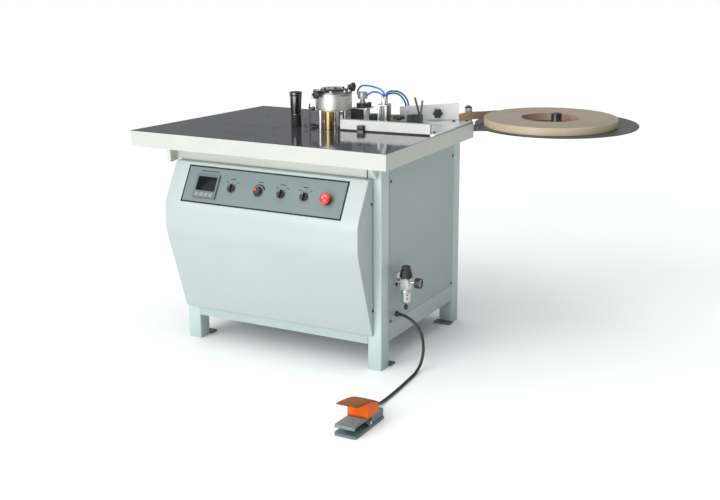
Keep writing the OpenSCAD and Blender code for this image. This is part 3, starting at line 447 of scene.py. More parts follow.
# across the width: cheek (back to front), rounded edge, skin, rounded edge, cheek (front to back)
widthX = np.concatenate([[hoodLo[0]] * 6, hoodLo[0] + er * (1 - np.cos(edge)),
np.linspace(hoodLo[0] + er, hoodHi[0] - er, 12)[1:-1],
                         hoodHi[0] - er * (1 - np.cos(edge[::-1])), [hoodHi[0]] * 6])
widthIn = np.concatenate([[er] * 6, er * (1 - np.sin(edge)), [0] * 10, er * (1 - np.sin(edge[::-1])), [er] * 6])
widthBack = np.concatenate([np.linspace(1, 0, 7)[:-1], [0] * 20, np.linspace(0, 1, 7)[1:]])
inset = hoodLine[:, None, :] + inward[:, None, :] * widthIn[None, :, None]
hoodY = inset[..., 0] * (1 - widthBack) + hoodHi[1] * widthBack
hoodGrid = np.stack([np.broadcast_to(widthX, hoodY.shape), np.minimum(hoodY, hoodHi[1]), inset[..., 1]], axis=-1)
hood = makePiece("frontHood", hoodGrid.reshape(-1, 3), gridFaces(*hoodY.shape), hoodPaint, "frame", sharp=40,
    replace=("hood",),
                 slot="cabinet_paint")
thicken(hood, hoodSpec["sheet"])
print("cabinet done")

# ---- table
boardEdge = finish("boardEdge", colour=(0.53, 0.54, 0.505), second=(0.50, 0.515, 0.485), cloud=8, grain=500,
rough=(0.35, 0.5), bump=0.06)
topSheet = finish("laminateTop", colour=(0.034, 0.033, 0.045), second=(0.044, 0.042, 0.055), cloud=5, grain=260,
    rough=(0.07, 0.13), bump=0.012, depth=0.0003, specular=0.42)
dress(boardEdge, "front_board", "rear_board")
dress(topSheet, "laminates")
dress(blackOxide, "screws")
dress(brass, "shaft_bushes")
print("table done")

# ---- control panel: everything flat on it is drawn in its own plane
panelSpec = {"top": np.array([0, -0.406, 0.770]), "fold": np.array([0, -0.498, 0.610]), "line": 0.0060}
down = panelSpec["fold"] - panelSpec["top"]
down /= np.linalg.norm(down)
outward = np.array([0, down[2], -down[1]])
outward = outward if outward[1] < 0 else -outward


def onPanel(x, v, h=0.0022):
    # point at x across, v down the slope and h out of it
    x, v, h = np.broadcast_arrays(x, v, h)
    return panelSpec["top"] + x[..., None] * np.array([1.0, 0, 0]) + v[..., None] * down + h[..., None] * outward


def panelStroke(line, width, closed=False, h=0.00205):
    # ribbon of the given width along a line of (x, v) points in the panel's plane
    p = np.asarray(line, float)
    t = np.roll(p, -1, 0) - np.roll(p, 1, 0) if closed else np.gradient(p, axis=0)
    t /= np.linalg.norm(t, axis=1, keepdims=True)
    side = np.stack([-t[:, 1], t[:, 0]], axis=1) * (np.asarray(width, float).reshape(-1, 1) / 2)
    g = np.stack([p - side, p + side], axis=1)
    return onPanel(g[..., 0], g[..., 1], h).reshape(-1, 3), gridFaces(len(p), 2, closeRows=closed)


def frameStroke(x0, x1, v0, v1, width):
    # four straight ribbons that meet at the corners of a rectangle
    return [panelStroke(q, width) for q in ([(x0 - width / 2, v0), (x1 + width / 2, v0)], [(x1, v0), (x1, v1)],
                                            [(x1 + width / 2, v1), (x0 - width / 2, v1)], [(x0, v1), (x0, v0)])]


plateFace = finish("panelFace", colour=(0.155, 0.20, 0.197), second=(0.145, 0.19, 0.187), cloud=5, grain=500,
    rough=(0.4, 0.5), bump=0.06, metal=0.1)
dress(plateFace, "control_plate")
inkBlack = finish("panelInk", colour=(0.012, 0.022, 0.022), second=(0.018, 0.026, 0.026), rough=(0.5, 0.6),
    specular=0.3)
inkWhite = finish("markWhite", colour=(0.75, 0.77, 0.76), second=(0.7, 0.72, 0.71), rough=(0.4, 0.5))
px0, px1, pv0, pv1 = -0.3835, 0.3465, 0.0165, 0.1665
marks = frameStroke(px0, px1, pv0, pv1, panelSpec["line"])
switchX = {"mode_switch": -0.163, "heat_switch": 0.067, "cut_switch": 0.171}
for k, x in enumerate(switchX.values()):
    for s in (-1, 1):  # position ticks, each a short bar at 38 degrees from straight up
        a = math.radians(38) * s
        marks.append(panelStroke([(x + 0.021 * math.sin(a), 0.095 - 0.021 * math.cos(a)),
            (x + 0.027 * math.sin(a), 0.095 - 0.027 * math.cos(a))], 0.0016))
        marks.append(panelStroke([(x + s * 0.020, 0.069), (x + s * 0.030, 0.069)], 0.0028))
    marks.append(panelStroke([(x - 0.012, 0.056), (x + 0.012, 0.056)], 0.0030))
swell = np.linspace(-62, 72, 40)
arcAng = np.radians(swell)
arc = np.stack([-0.037 + 0.0285 * np.sin(arcAng), 0.095 - 0.0285 * np.cos(arcAng)], axis=1)
marks.append(panelStroke(arc, np.interp(swell, [-62, 60, 72], [0.0012, 0.0075, 0.0030])))
marks.append(panelStroke([(-0.049, 0.056), (-0.023, 0.056)], 0.0030))
marks.append(panelStroke([(-0.322, 0.0335), (-0.236, 0.0335)], 0.0030))
for x in (-0.20, 0.03, 0.20):
    for v in (pv0, pv1):
        marks.append(panelStroke([(x - 0.004, v), (x + 0.004, v)], 0.0066))
thicken(makePiece("panelMarks", *joinParts(marks), inkBlack, "frame"), 0.00015, 1)

# controller: bezel, dark window with its sunk edge, four soft keys
meterFrame = (np.stack([[1.0, 0, 0], -down, outward], axis=1), onPanel(-0.280, 0.097, 0.0))
bezelSkin = finish("meterBezel", colour=(0.12, 0.14, 0.145), second=(0.11, 0.13, 0.135), cloud=20, grain=900,
    rough=(0.4, 0.55), bump=0.12)
dress(bezelSkin, "temp_controller")
glassDark = finish("meterWindow", colour=(0.003, 0.004, 0.005), second=(0.004, 0.006, 0.007), cloud=8, grain=80,
    rough=(0.12, 0.2), specular=0.12, bump=0.01)
keySkin = finish("meterKeys", colour=(0.22, 0.24, 0.26), second=(0.21, 0.23, 0.25), rough=(0.45, 0.55), grain=900)
makePiece("meterWindow", *roundBox((-44, -20, 7.2), (44, 38, 8.6), 0.6, meterFrame), glassDark, "frame")
makePiece("meterKeys", *joinParts([roundBox((-33 + 22 * k - 9, -44, 8.8), (-33 + 22 * k + 9, -29, 10.6), 1.2,
    meterFrame) for k in range(4)]),
          keySkin, "frame")
print("panel marks and meter done")

# knobs, each turned about its own shaft axis
dress(blackPlastic, "switch_collars", "mode_switch", "heat_switch", "cut_switch", "speed_knob", "cable_gland",
"drain_valve")
collarSpec = [(16.2, 2.0), (17.4, 2.4), (17.4, 5.2), (16.4, 6.4), (15.9, 6.4), (15.9, 2.0)]
ringMetal = finish("collarMetal", colour=(0.10, 0.105, 0.105), second=(0.12, 0.12, 0.12), rough=(0.3, 0.4), metal=0.6)
makePiece("selectorRings", *joinParts([lathe(collarSpec + collarSpec[:1], onPanel(x, 0.095, 0), outward)
    for x in switchX.values()]),
          ringMetal, "frame")
handleSpec = {"wide": 9.4, "long": 30, "base": 10.5, "top": 23.2, "mark": 8}
for name, x in switchX.items():
    place = (np.stack([[1.0, 0, 0], -down, outward], axis=1), onPanel(x, 0.095, 0))
    w, l = handleSpec["wide"] / 2, handleSpec["long"] / 2
    makePiece(name + "Grip", *roundBox((-w, -l, handleSpec["base"]), (w, l, handleSpec["top"]), 2.4, place, 5),
        blackPlastic, name)
    makePiece(name + "Line", *roundBox((-0.8, l - handleSpec["mark"] - 2, handleSpec["top"] - 0.3),
        (0.8, l - 2, handleSpec["top"] + 0.25), 0.2, place, 2),
              inkWhite, name)
speedSpec = {"ribs": 24, "at": (-0.037, 0.095)}
makePiece("speedDial", *lathe([(0, 2.5), (20.4, 2.5), (20.8, 4.4), (18.6, 6), (16.2, 8), (15.0, 17), (13.8, 18.8),
    (10.6, 19.2), (10.0, 18.2), (0, 18.2)],
                              onPanel(-0.037, 0.095, 0), outward, 96, waved(0.025, speedSpec["ribs"], 0.010)),
                              blackPlastic, "speed_knob", replace=("speed_knob",), slot="black_plastic")
redGloss = finish("redGloss", colour=(0.62, 0.012, 0.010), second=(0.70, 0.02, 0.015), cloud=40, grain=400,
    rough=(0.16, 0.26), coat=0.4, bump=0.02)
capAngle = math.radians(58)
makePiece("speedPointer", *lathe([(0, 17.5), (6.6, 17.5), (7.0, 18.6), (6.4, 20.2), (4.4, 21.4), (0, 22)],
                                 onPanel(-0.037 - 0.0095 * math.sin(capAngle), 0.095 - 0.0095 * math.cos(capAngle),
                                 0), outward, 32),
          redGloss, "speed_knob", slot="red_plastic")
stopHead = [(0, 9), (8, 9), (8, 15), (14, 15), (21.5, 19), (22.8, 20.5), (22.9, 24.5), (22.2, 26.2), (19.6, 28.4),
    (16.2, 30.0), (15.2, 30.4),
            (14.2, 30.2), (12.6, 29.2), (6, 29.0), (0, 29.0)]
makePiece("stopMushroom", *lathe(stopHead, onPanel(0.274, 0.096, 0), outward, 72), redGloss, "estop_button",
    replace=("estop_button",),
          slot="red_plastic")
arrows = []
for k in range(3):  # three raised, curved bars on the head
    a = np.radians(np.linspace(0, 62, 9) + 120 * k)
    r = 0.0100
    line = onPanel(0.274 + r * np.sin(a), 0.096 - r * np.cos(a), 0.0293)
    arrows.append(cappedTube(line, np.linspace(0.0006, 0.0013, 9), 6))
makePiece("stopArrows", *joinParts(arrows), inkWhite, "estop_button")
print("knobs done")

# ---- mechanism on the table
dress(polished, "pot_stand", "cutter_blade", "guide_post")
dress(groundPlate, "base_plate")
fenceSkin = finish("fenceSatin", colour=(0.80, 0.81, 0.80), second=(0.74, 0.75, 0.745), cloud=8, grain=200,
    stretch=(0.6, 14, 14), turn=0, rough=(0.35, 0.5), metal=0.45, bump=0.04, depth=0.0002)
dress(fenceSkin, "rear_fence")
railSkin = finish("railAnodised", colour=(0.56, 0.565, 0.555), second=(0.50, 0.505, 0.50), cloud=9, grain=160,
    stretch=(0.6, 14, 30), turn=-5.7, rough=(0.34, 0.48), metal=0.7, bump=0.05, depth=0.0002)
dress(railSkin, "guide_rail")
guideSteel = finish("guideSteel", colour=(0.16, 0.16, 0.165), second=(0.11, 0.11, 0.115), cloud=60, grain=420,
    rough=(0.28, 0.4), metal=0.9, bump=0.04)
dress(guideSteel, "tape_guides", "guide_bracket")
dress(zincAlloy, "feed_cylinder", "air_manifold")
railSpec = {"turn": 5.7, "at": (0.104, -0.045)}
clampFrame = turnedFrame(railSpec["turn"], (*railSpec["at"], 0))
makePiece("clampCover", *roundBox((79.6, -16.4, 886.4), (106.4, -0.3, 906.6), 0.8, clampFrame), blackOxide, "frame",
    slot="dark_steel")
print("guides done")
dress(blackOxide, "cutter_body", "cutter_cylinder", "feed_roller", "drive_sprocket")
shelf = [roundBox((77.6, 107.6, 945.8), (146.4, 170.4, 950.6), 0.8)]
shelf += [lathe([(0, 0), (3.6, 0), (3.6, 2.6), (2.8, 3.4), (0, 3.4)], (x, y, 0.9505), steps=20)
    for x in (0.083, 0.1415) for y in (0.1125, 0.166)]
makePiece("cutterShelf", *joinParts(shelf), groundPlate, "frame", slot="zinc")
makePiece("cutterStem", *lathe([(9.1, 82), (9.2, 86), (11.6, 87), (11.6, 93), (9.3, 94), (9.3, 102.6)],
    (0.1139, 0.1314, 0.886), steps=48), zincAlloy, "frame")
makePiece("cutterCap", *lathe([(27.1, 64.6), (27.3, 66), (27.3, 70), (25.6, 71), (25.6, 73), (27.3, 74), (27.3, 80.4),
    (25.8, 82.2), (9, 82.3)],
                              (0.1139, 0.1354, 0.886), steps=72), blackOxide, "frame")
fenceSpec = {"turn": 29.5, "at": (0.256, 0.198, 0.880)}
cutFrame = turnedFrame(fenceSpec["turn"], (0.098, 0.127, 0.886))
makePiece("cutterPlates", *joinParts([roundBox((-62, -25.2, 4), (-34, -23.7, 56), 0.5, cutFrame),
    roundBox((20, -25.6, 6), (43, -23.7, 58), 0.5, cutFrame),
                                      lathe([(0, 0), (4.2, 0), (4.2, 2.6), (3.4, 3.4), (0, 3.4)],
                                      (0.064, 0.0815, 0.926), (0.4924, -0.8704, 0), 24)]),
          zincAlloy, "frame")
motorPaint = finish("motorPaint", colour=(0.04, 0.09, 0.15), second=(0.05, 0.10, 0.16), cloud=10, grain=300,
    rough=(0.35, 0.5), bump=0.2)
dress(motorPaint, "gearmotor")
chainSteel = finish("chainSteel", colour=(0.20, 0.20, 0.20), second=(0.28, 0.27, 0.25), cloud=90, grain=500,
    rough=(0.3, 0.5), metal=1, bump=0.3)
dress(chainSteel, "drive_chain")


def lobed(count, depth):
    # star grip: radius falls to 1-depth between the lobes, rounded by a squared cosine
    return lambda angle, radius: 1 - depth * (0.5 - 0.5 * np.cos(count * angle)) ** 1.6 * (radius > 0.010)


starSpecs = {
    "fence_knob": {"joint": "fence_knob_turn", "radius": 21, "from": 4, "thick": 17, "lobes": 6},
    "stop_knob": {"joint": "stop_knob_turn", "radius": 26, "from": 1, "thick": 15, "lobes": 6},
    "pot_knob_left": {"joint": "pot_knob_left_turn", "radius": 18.5, "from": 5, "thick": 15, "lobes": 6},
    "pot_knob_right": {"joint": "pot_knob_right_turn", "radius": 20, "from": 4, "thick": 14, "lobes": 6}}
for name, spec in starSpecs.items():
    j = joints[spec["joint"]]
    r, a, t = spec["radius"], spec["from"], spec["thick"]
    neck = min(10, r * 0.46)
    profile = [(0, a - 3.6), (neck, a - 3.6), (neck, a + 0.6), (r * 0.80, a + 1.0), (r * 0.95, a + 3),
        (r, a + t * 0.42), (r * 0.97, a + t * 0.72),
               (r * 0.84, a + t * 0.92), (r * 0.60, a + t), (6.4, a + t), (5.6, a + t - 1.4), (0, a + t - 1.4)]
    makePiece(name + "Grip", *lathe(profile, j["pos_m"], j["axis"], 96, lobed(spec["lobes"], 0.2)), blackPlastic,
        name, replace=(name,),
              slot="black_plastic")
    makePiece(name + "Insert", *lathe([(0, a + t - 1.5), (4.9, a + t - 1.5), (4.9, a + t - 0.5), (4.2, a + t - 0.1),
        (0, a + t - 0.1)], j["pos_m"], j["axis"], 6),
              blackOxide, name)

# glue pot: banded drum, lid with its bridge and bolts
potLo, potHi = (np.array(p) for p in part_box("glue_pot"))
potAt = np.array([0.031, 0.032, potLo[2]])
potSpec = {"radius": 75.4, "height": 66.6, "proud": 0.25}
r, h = potSpec["radius"], potSpec["height"]
outside = [(r - 0.8, 1.2), (r, 3), (r, 8), (r - 0.9, 9), (r - 0.9, 10), (r, 11), (r, 52), (r - 1.0, 53.2),
           (r - 1.0, 55), (r, 56.2), (r, h - 2), (r - 1, h - 0.4)]
drum = [(a + potSpec["proud"], b) for a, b in outside] + [(r - 2.4, h)]
drumSteel = finish("drumSteel", colour=(0.70, 0.70, 0.675), second=(0.60, 0.595, 0.57), cloud=14, grain=240,
    stretch=(0.2, 0.2, 6), rough=(0.36, 0.48), metal=1, bump=0.02, anisotropy=0.3)
lidSteel = finish("lidSteel", colour=(0.20, 0.20, 0.195), second=(0.13, 0.13, 0.125), cloud=30, grain=300,
    rough=(0.25, 0.4), metal=0.9, bump=0.1, fleck=(0.34, 0.33, 0.31))
dress(drumSteel, "glue_pot")
dress(lidSteel, "pot_lid")
makePiece("potDrumSkin", *lathe(drum, potAt, steps=128), drumSteel, "frame", slot="ground_steel")
melt = finish("glueMelt", colour=(0.42, 0.27, 0.10), second=(0.55, 0.38, 0.17), cloud=30, grain=120,
    rough=(0.25, 0.5), bump=0.6, depth=0.003)
makePiece("glueFill", *lathe([(0, 12.2), (66.6, 12.2), (66.9, 22), (60, 23.4), (40, 24.6), (20, 23.8), (0, 24.2)],
    potAt, steps=72), melt, "frame")
lidTop = potHi[2]
boltHead = [(0, 0), (6.4, 0), (6.4, 4.6), (5.6, 5.6), (0, 5.6)]
lidBits = [lathe(boltHead, (0.031 + 0.066 * math.cos(a), 0.032 + 0.066 * math.sin(a), lidTop + 0.0072), steps=6)
           for a in np.radians([20, 95, 140, 215, 290, 345])]
lidBits += [lathe([(0, 0), (9, 0), (9, 2), (6.4, 2.4), (6.4, 7.4), (5.4, 8.6), (0, 8.6)],
    (0.031 + p[0] * 0.001, 0.032 + p[1] * 0.001, lidTop + 0.015),
                  steps=6) for p in ((-13, -19), (14, 22))]
makePiece("lidBolts", *joinParts(lidBits), zincAlloy, "pot_lid", slot="zinc")
lugTube = smoothPath(np.array([[-6, -28, 1032], [6, -20, 1045], [30, -2, 1047], [52, 22, 1046],
    [66, 40, 1034]]) * 0.001, 8)
makePiece("lidHandle", *cappedTube(lugTube, 0.0035, 14), polished, "pot_lid")

# rollers
dress(brass, "glue_roller")
glueSpec = [(20.15, 2), (20.15, 8), (19.6, 8.6), (19.6, 9.6), (20.15, 10.2), (20.15, 62), (19.6, 62.6), (19.6, 63.6),
    (20.15, 64.2), (20.15, 71.6)]
makePiece("glueRollerSkin", *lathe(glueSpec, (0.049, -0.038, 0.880), steps=96), brass, "glue_roller", slot="bronze")
headSteel = finish("headSteel", colour=(0.12, 0.12, 0.125), second=(0.15, 0.15, 0.155), cloud=20, grain=300,
    stretch=(0.3, 0.3, 5), rough=(0.08, 0.13), metal=1, bump=0.005)
dress(headSteel, "press_roller")
dress(rubber, "press_sleeve")
headProfile = [(18.5, 46), (20.6, 46.4), (20.9, 48), (20.9, 56), (20.2, 57.5), (21.2, 58.5), (25.2, 128), (26.1, 130),
    (26.2, 141), (25.4, 142.6),
               (23.4, 142.9), (22.4, 142.0), (22.0, 134), (20.4, 133.2), (8.2, 133.0), (8.0, 136.4), (6.6, 137.4),
               (0, 137.4)]
makePiece("pressHead", *lathe(headProfile, (-0.111, -0.037, 0.880), steps=96), headSteel, "press_roller")
sleeveProfile = [(20.9, 1.4), (21.15, 2.2), (21.15, 7.2), (20.4, 8.2), (20.4, 40.4), (21.15, 41.4), (21.15, 45.0),
    (20.8, 45.8)]
makePiece("pressRubber", *lathe(sleeveProfile, (-0.111, -0.037, 0.880), steps=96), rubber, "press_roller")
feedRubber = [(20.1, 8.4), (20.1, 43.5), (19, 44.2)]
makePiece("feedTyre", *lathe(feedRubber, (0.1705, 0.1368, 0.880), steps=72, shape=waved(0.012, 60)), rubber,
    "feed_roller")

# bracket beside the press roller: a small fluted screw knob and a wheel
smallKnob = [(0, 0), (7.6, 0), (8.2, 1), (8.2, 9), (7, 10.4), (0, 10.4)]
makePiece("bracketKnob", *lathe(smallKnob, (-0.0474, -0.012, 0.955), (1, 0, 0), 48, waved(0.05, 16, 0.006)),
          blackPlastic, "frame")
makePiece("bracketWheel", *lathe([(0, 4.8), (13.4, 4.8), (14.2, 6), (14.2, 11), (13.2, 12.4), (4, 12.4), (4, 15.4),
    (0, 15.4)], (-0.036, -0.026, 0.880), steps=48),
          blackOxide, "frame")
# dark strip along the foot of the guide rail, painted shade for the shaded gap and plate edge under it, and socket
# screws in the fence foot
railAt = turnedFrame(railSpec["turn"], (*railSpec["at"], 0.880))
railGapShadeSkin = finish("railGapShadeStrip", colour=(0.035, 0.016, 0.014), second=(0.05, 0.022, 0.018), cloud=30, grain=300,
    rough=(0.3, 0.45))
makePiece("railGapShade", *roundBox((0.4, 0.3, 0.3), (387.4, 1.9, 5.9), 0.5, railAt), railGapShadeSkin, "frame")
fenceAt = turnedFrame(fenceSpec["turn"], fenceSpec["at"])
socket = [(0, 0), (6.6, 0), (6.6, 4.2), (6, 4.8), (3.4, 4.8), (3.4, 2), (0, 2)]
spots = [np.array(fenceAt[1]) + fenceAt[0] @ (np.array(p) * 0.001) for p in ((30, -18, 12), (225, -18, 12))]
makePiece("fenceScrews", *joinParts([lathe(socket, p, steps=32) for p in spots]), blackOxide, "frame")
# the slot in the fence is a thin black strip: its black is painted shade for the inside of the groove
makePiece("fenceSlot", *roundBox((118, -0.35, 15.6), (244, 0.2, 17.6), 0.15, fenceAt, 2), blackOxide, "frame")
# fittings on the feed cylinder and the knurled air block
makePiece("airBlockTop", *lathe([(0, 26.9), (21.1, 26.9), (21.1, 22), (21.6, 21), (21.6, 6), (21.1, 5),
(21.1, 0.4)][::-1], (0.1139, 0.1314, 0.989), steps=108,
                                shape=waved(0.03, 36, 0.0213)), zincAlloy, "frame")
tieRod = [(0, 0), (3.4, 0), (3.4, 2.4), (2.6, 3.2), (0, 3.2)]
makePiece("cylinderBolts", *joinParts([lathe(tieRod, (x, y, 0.9739), steps=6) for x in (0.2095, 0.2425)
    for y in (0.0955, 0.1285)]), blackOxide, "frame")
# thin black strips on the cylinder's faces for its slots: their black is painted shade for the grooves' insides; the
# last box is a black band under the cap
makePiece("cylinderSlots", *joinParts([roundBox((x, 90.3, 893), (x + w, 91.6, 966), 0.5) for x,
    w in ((216.5, 3), (222, 6.5), (231.5, 3))]
                                       + [roundBox((246.2, y, 893), (247.5, y + 5, 966), 0.5) for y in (97, 106, 120)]
                                       + [roundBox((204.6, 90.6, 966.5), (247.4, 133.4, 969), 0.8)]), blackOxide,
                                       "frame")
makePiece("cylinderRods", *joinParts([roundBox((205.6 + 33 * k, 90.2, 890), (213.4 + 33 * k, 91.4, 972), 0.5)
    for k in (0, 1)]), zincAlloy, "frame")
print("mechanism done")

# ---- reel, roll and strip
trayTop = finish("trayFace", colour=(0.040, 0.041, 0.046), second=(0.052, 0.052, 0.056), cloud=6, grain=200,
rough=(0.22, 0.34), bump=0.03, specular=0.35)
dress(trayTop, "reel_tray")
rollLo, rollHi = (np.array(p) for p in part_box("tape_roll"))
rollMid = (rollLo + rollHi) / 2
rollSpec = {"at": (float(rollMid[0]), float(rollMid[1])), "outer": (rollHi[0] - rollLo[0]) * 500, "core": 127,
    "tall": (rollHi[2] - rollLo[2]) * 1000, "turns": 118}
coil = ringFinish("coiledBanding", colour=(0.335, 0.285, 0.215), second=(0.30, 0.25, 0.19), cloud=5, grain=90,
    rough=(0.4, 0.55), bump=0.1, centre=rollSpec["at"], rings=420, ringColour=(0.17, 0.125, 0.09), ringShare=0.5,
    ringBump=0.35)
tapeFace = finish("tapeOuterFace", colour=(0.56, 0.475, 0.33), second=(0.50, 0.42, 0.29), cloud=12, grain=300,
    rough=(0.35, 0.5), bump=0.1)
rng = np.random.default_rng(7)
radii = np.linspace(rollSpec["core"] + 0.6, rollSpec["outer"] - 0.5, rollSpec["turns"])
# each turn stands a little proud or low: top height = width - |step| with a slow wave across the roll
rise = 0.45 * rng.random(len(radii)) + 0.25 * (0.5 + 0.5 * np.sin(radii / 9))
top = [(r, rollSpec["tall"] - h) for r, h in zip(radii, rise)]
rollProfile = [(rollSpec["core"], 0.3),
    (rollSpec["core"], rollSpec["tall"] - 1)] + top + [(rollSpec["outer"] - 0.5, 0.2), (rollSpec["core"], 0.3)]
sides = [(rollSpec["outer"] - 0.6, rollSpec["tall"] - 0.4), (rollSpec["outer"], rollSpec["tall"] - 1.0),
    (rollSpec["outer"], rollSpec["tall"] * 0.5), (rollSpec["outer"], 1.0),
         (rollSpec["outer"] - 0.6, 0.3)][::-1]
makePiece("bandingRoll", *lathe(rollProfile, (*rollSpec["at"], rollLo[2]), steps=180), coil, "tape_roll", sharp=50,
    replace=("tape_roll",),
                      slot="tape_coil")
makePiece("bandingRollFace", *lathe(sides, (*rollSpec["at"], rollLo[2]), steps=180), tapeFace, "tape_roll",
    slot="tape_coil")
coreSkin = finish("rollCore", colour=(0.40, 0.27, 0.21), second=(0.46, 0.33, 0.26), cloud=30, grain=200,
    rough=(0.5, 0.7), bump=0.2)
ct = rollSpec["tall"]
makePiece("rollCore", *lathe([(123.6, 0.5), (126.9, 0.5), (126.9, ct - 0.4), (126.4, ct - 0.1), (124.2, ct - 0.1),
    (123.6, ct - 0.6), (123.6, 0.5)], (*rollSpec["at"], rollLo[2]), steps=120),
          coreSkin, "tape_roll")
hubSteel = finish("hubSteel", colour=(0.09, 0.09, 0.095), second=(0.13, 0.13, 0.13), cloud=20, grain=200,
    rough=(0.2, 0.35), metal=0.8)
trayLo, trayHi = (np.array(p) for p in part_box("reel_tray"))
trayR = (trayHi[0] - trayLo[0]) * 500
trayAt = (*joints["reel_tray_spin"]["pos_m"][:2], trayHi[2] - 0.049)
makePiece("reelHub", *lathe([(22.5, 4.2), (23.6, 4.4), (23.6, 8), (22.9, 9.5), (22.9, 40), (22.2, 46.6), (20.6, 49.4),
    (10.4, 49.4)], trayAt, steps=64), hubSteel,
          "reel_tray")
makePiece("trayRim", *lathe([(trayR - 7, 4.05), (trayR - 1.4, 4.2), (trayR + 0.3, 3.2), (trayR + 0.3, 0.6),
    (trayR - 1.6, -0.2), (trayR - 7, -0.05)], trayAt, steps=200), trayTop, "reel_tray")
makePiece("spindleNut", *lathe([(0, 49.4), (9.4, 49.4), (9.9, 50.2), (9.9, 52.0), (9.2, 52.9), (0, 52.9)], trayAt,
    steps=6), zincAlloy, "frame")
stripSpec = {"thick": 0.0010, "per": 6}
stripKnots = np.array([[524.5, 619.5, 867], [508.5, 546, 873], [493, 470, 880], [480, 402, 886.6], [468, 340, 887.2],
    [462.5, 328, 887.2], [455, 322, 887.2],
                       [430, 307.8, 887.2], [350, 262.5, 887.2], [248, 204.8, 887.2], [200, 177.7, 887.2],
                       [160, 155.1, 887.2], [120, 132.5, 887.2]]) * 0.001
stripPath = smoothPath(stripKnots, stripSpec["per"])
stripDir = np.gradient(stripPath, axis=0)[:, :2]
stripDir /= np.linalg.norm(stripDir, axis=1, keepdims=True)
stripSide = np.stack([-stripDir[:, 1], stripDir[:, 0], np.zeros(len(stripDir))], axis=1) * stripSpec["thick"] / 2
tall = rollSpec["tall"] / 1000
section = [(-1, 0), (1, 0), (1, 1), (-1, 1)]
stripGrid = np.stack([stripPath + s * stripSide + np.array([0, 0, h * tall]) for s, h in section], axis=1)
stripVerts = stripGrid.reshape(-1, 3)
endFaces = [[0, 1, 2, 3], [len(stripVerts) - k for k in (1, 2, 3, 4)]]
stripFaces = gridFaces(len(stripPath), 4, closeCols=True).tolist() + endFaces
strand = finish("bandingFace", colour=(0.50, 0.33, 0.22), second=(0.56, 0.39, 0.27), cloud=9, grain=60,
    stretch=(1, 1, 14), rough=(0.35, 0.5), bump=0.1)
makePiece("bandingStrip", stripVerts, stripFaces, strand, "frame", replace=("tape_strand",), slot="tape_strip")
makePiece("guidePostSkin", *lathe([(16.1, 0.4), (16.1, 6), (15.6, 7), (15.6, 8), (16.1, 9), (16.1, 72)],
    (0.468, 0.430, 0.8581), steps=64), zincAlloy, "frame")
darkTip = [(16.15, 74.6), (16.15, 76.6), (14.4, 79), (6.2, 84.6), (5.2, 85.1), (0, 85.1)]
makePiece("guidePostTip", *lathe(darkTip, (0.468, 0.430, 0.8581), steps=64), blackOxide, "frame")
print("reel done")

# ---- air set
bowlMetal = finish("bowlGuard", colour=(0.60, 0.61, 0.60), second=(0.50, 0.51, 0.50), cloud=40, grain=800,
rough=(0.3, 0.42), metal=0.8, bump=0.1)
dress(bowlMetal, "filter_bowl")
dress(zincAlloy, "regulator_body")
dress(blackPlastic, "pressure_gauge")
airAt = np.array([0.500, -0.235, 0.0])
grip = [(0, 355.5), (23.5, 355.5), (25.1, 357), (25.1, 366), (24.4, 368), (21.4, 384), (20.6, 387), (17.6, 388.5),
    (17.4, 399.8), (16, 401.3), (0, 401.3)]
makePiece("regulatorGrip", *lathe(grip, airAt, steps=120, shape=waved(0.045, 20, 0.0172)), blackPlastic,
          "regulator_knob", replace=("regulator_knob",), slot="black_plastic")
makePiece("bowlInside", *lathe([(0, 262), (16.6, 262), (16.8, 264), (16.8, 304), (0, 304)], airAt, steps=40),
          finish("bowlPolymer", colour=(0.16, 0.18, 0.17), second=(0.20, 0.22, 0.21), rough=(0.1, 0.2), coat=0.4),
          "frame")
makePiece("bowlRing", *lathe([(19.6, 296), (20.6, 297), (20.6, 304), (19.6, 305.6)], airAt, steps=72,
    shape=waved(0.03, 28)),
          bowlMetal, "frame")
gaugeAt = (0.5381, -0.235, 0.338)
makePiece("gaugeRing", *lathe([(17.4, 22.4), (17.6, 25.9), (19.2, 26.3), (20.7, 25.6), (20.9, 23), (20.9, 9),
    (20.6, 6)], gaugeAt, (1, 0, 0), 72), blackPlastic, "frame")
dialFace = finish("dialFace", colour=(0.30, 0.33, 0.32), second=(0.26, 0.29, 0.28), rough=(0.15, 0.25), coat=0.5)
makePiece("gaugeFace", *lathe([(17.4, 22.2), (17.4, 22.6), (0, 22.6)], gaugeAt, (1, 0, 0), 48), dialFace, "frame")
gaugeTurn = axisFrame((1, 0, 0))
ticks = []
for a in np.linspace(-135, 135, 13):
    turned = gaugeTurn @ turnedFrame(a, gaugeAt)[0]
    ticks.append(roundBox((-0.45, 12.4, 22.6), (0.45, 15.8, 22.8), 0.1, (turned, gaugeAt), 2))
needleTurn = gaugeTurn @ turnedFrame(-50, gaugeAt)[0]
ticks.append(roundBox((-0.6, -4, 23.0), (0.6, 13, 23.5), 0.2, (needleTurn, gaugeAt), 2))
ticks.append(lathe([(0, 22.6), (2.2, 22.6), (2.2, 24), (1.8, 24.4), (0, 24.4)], gaugeAt, (1, 0, 0), 24))
makePiece("gaugeMarks", *joinParts(ticks), inkBlack, "frame")
collet = finish("colletBlue", colour=(0.02, 0.16, 0.36), second=(0.03, 0.19, 0.40), rough=(0.3, 0.4))
makePiece("portCollet", *lathe([(4.3, 0.4), (7.2, 0.4), (7.4, 1.4), (6.4, 4.6), (5.2, 6.8),
    (4.3, 6.8)][::-1] + [(4.3, 6.8)], (0.4772, -0.238, 0.322), (-1, 0, 0), 40),
          collet, "frame")
makePiece("panelGrommet", *lathe([(4.3, 0.2), (8.4, 0.2), (8.2, 2.0), (6.0, 3.4), (4.3, 3.4), (4.3, 0.2)],
    (0.460, -0.238, 0.322), (1, 0, 0), 40), blackPlastic, "frame")
print("air set done")

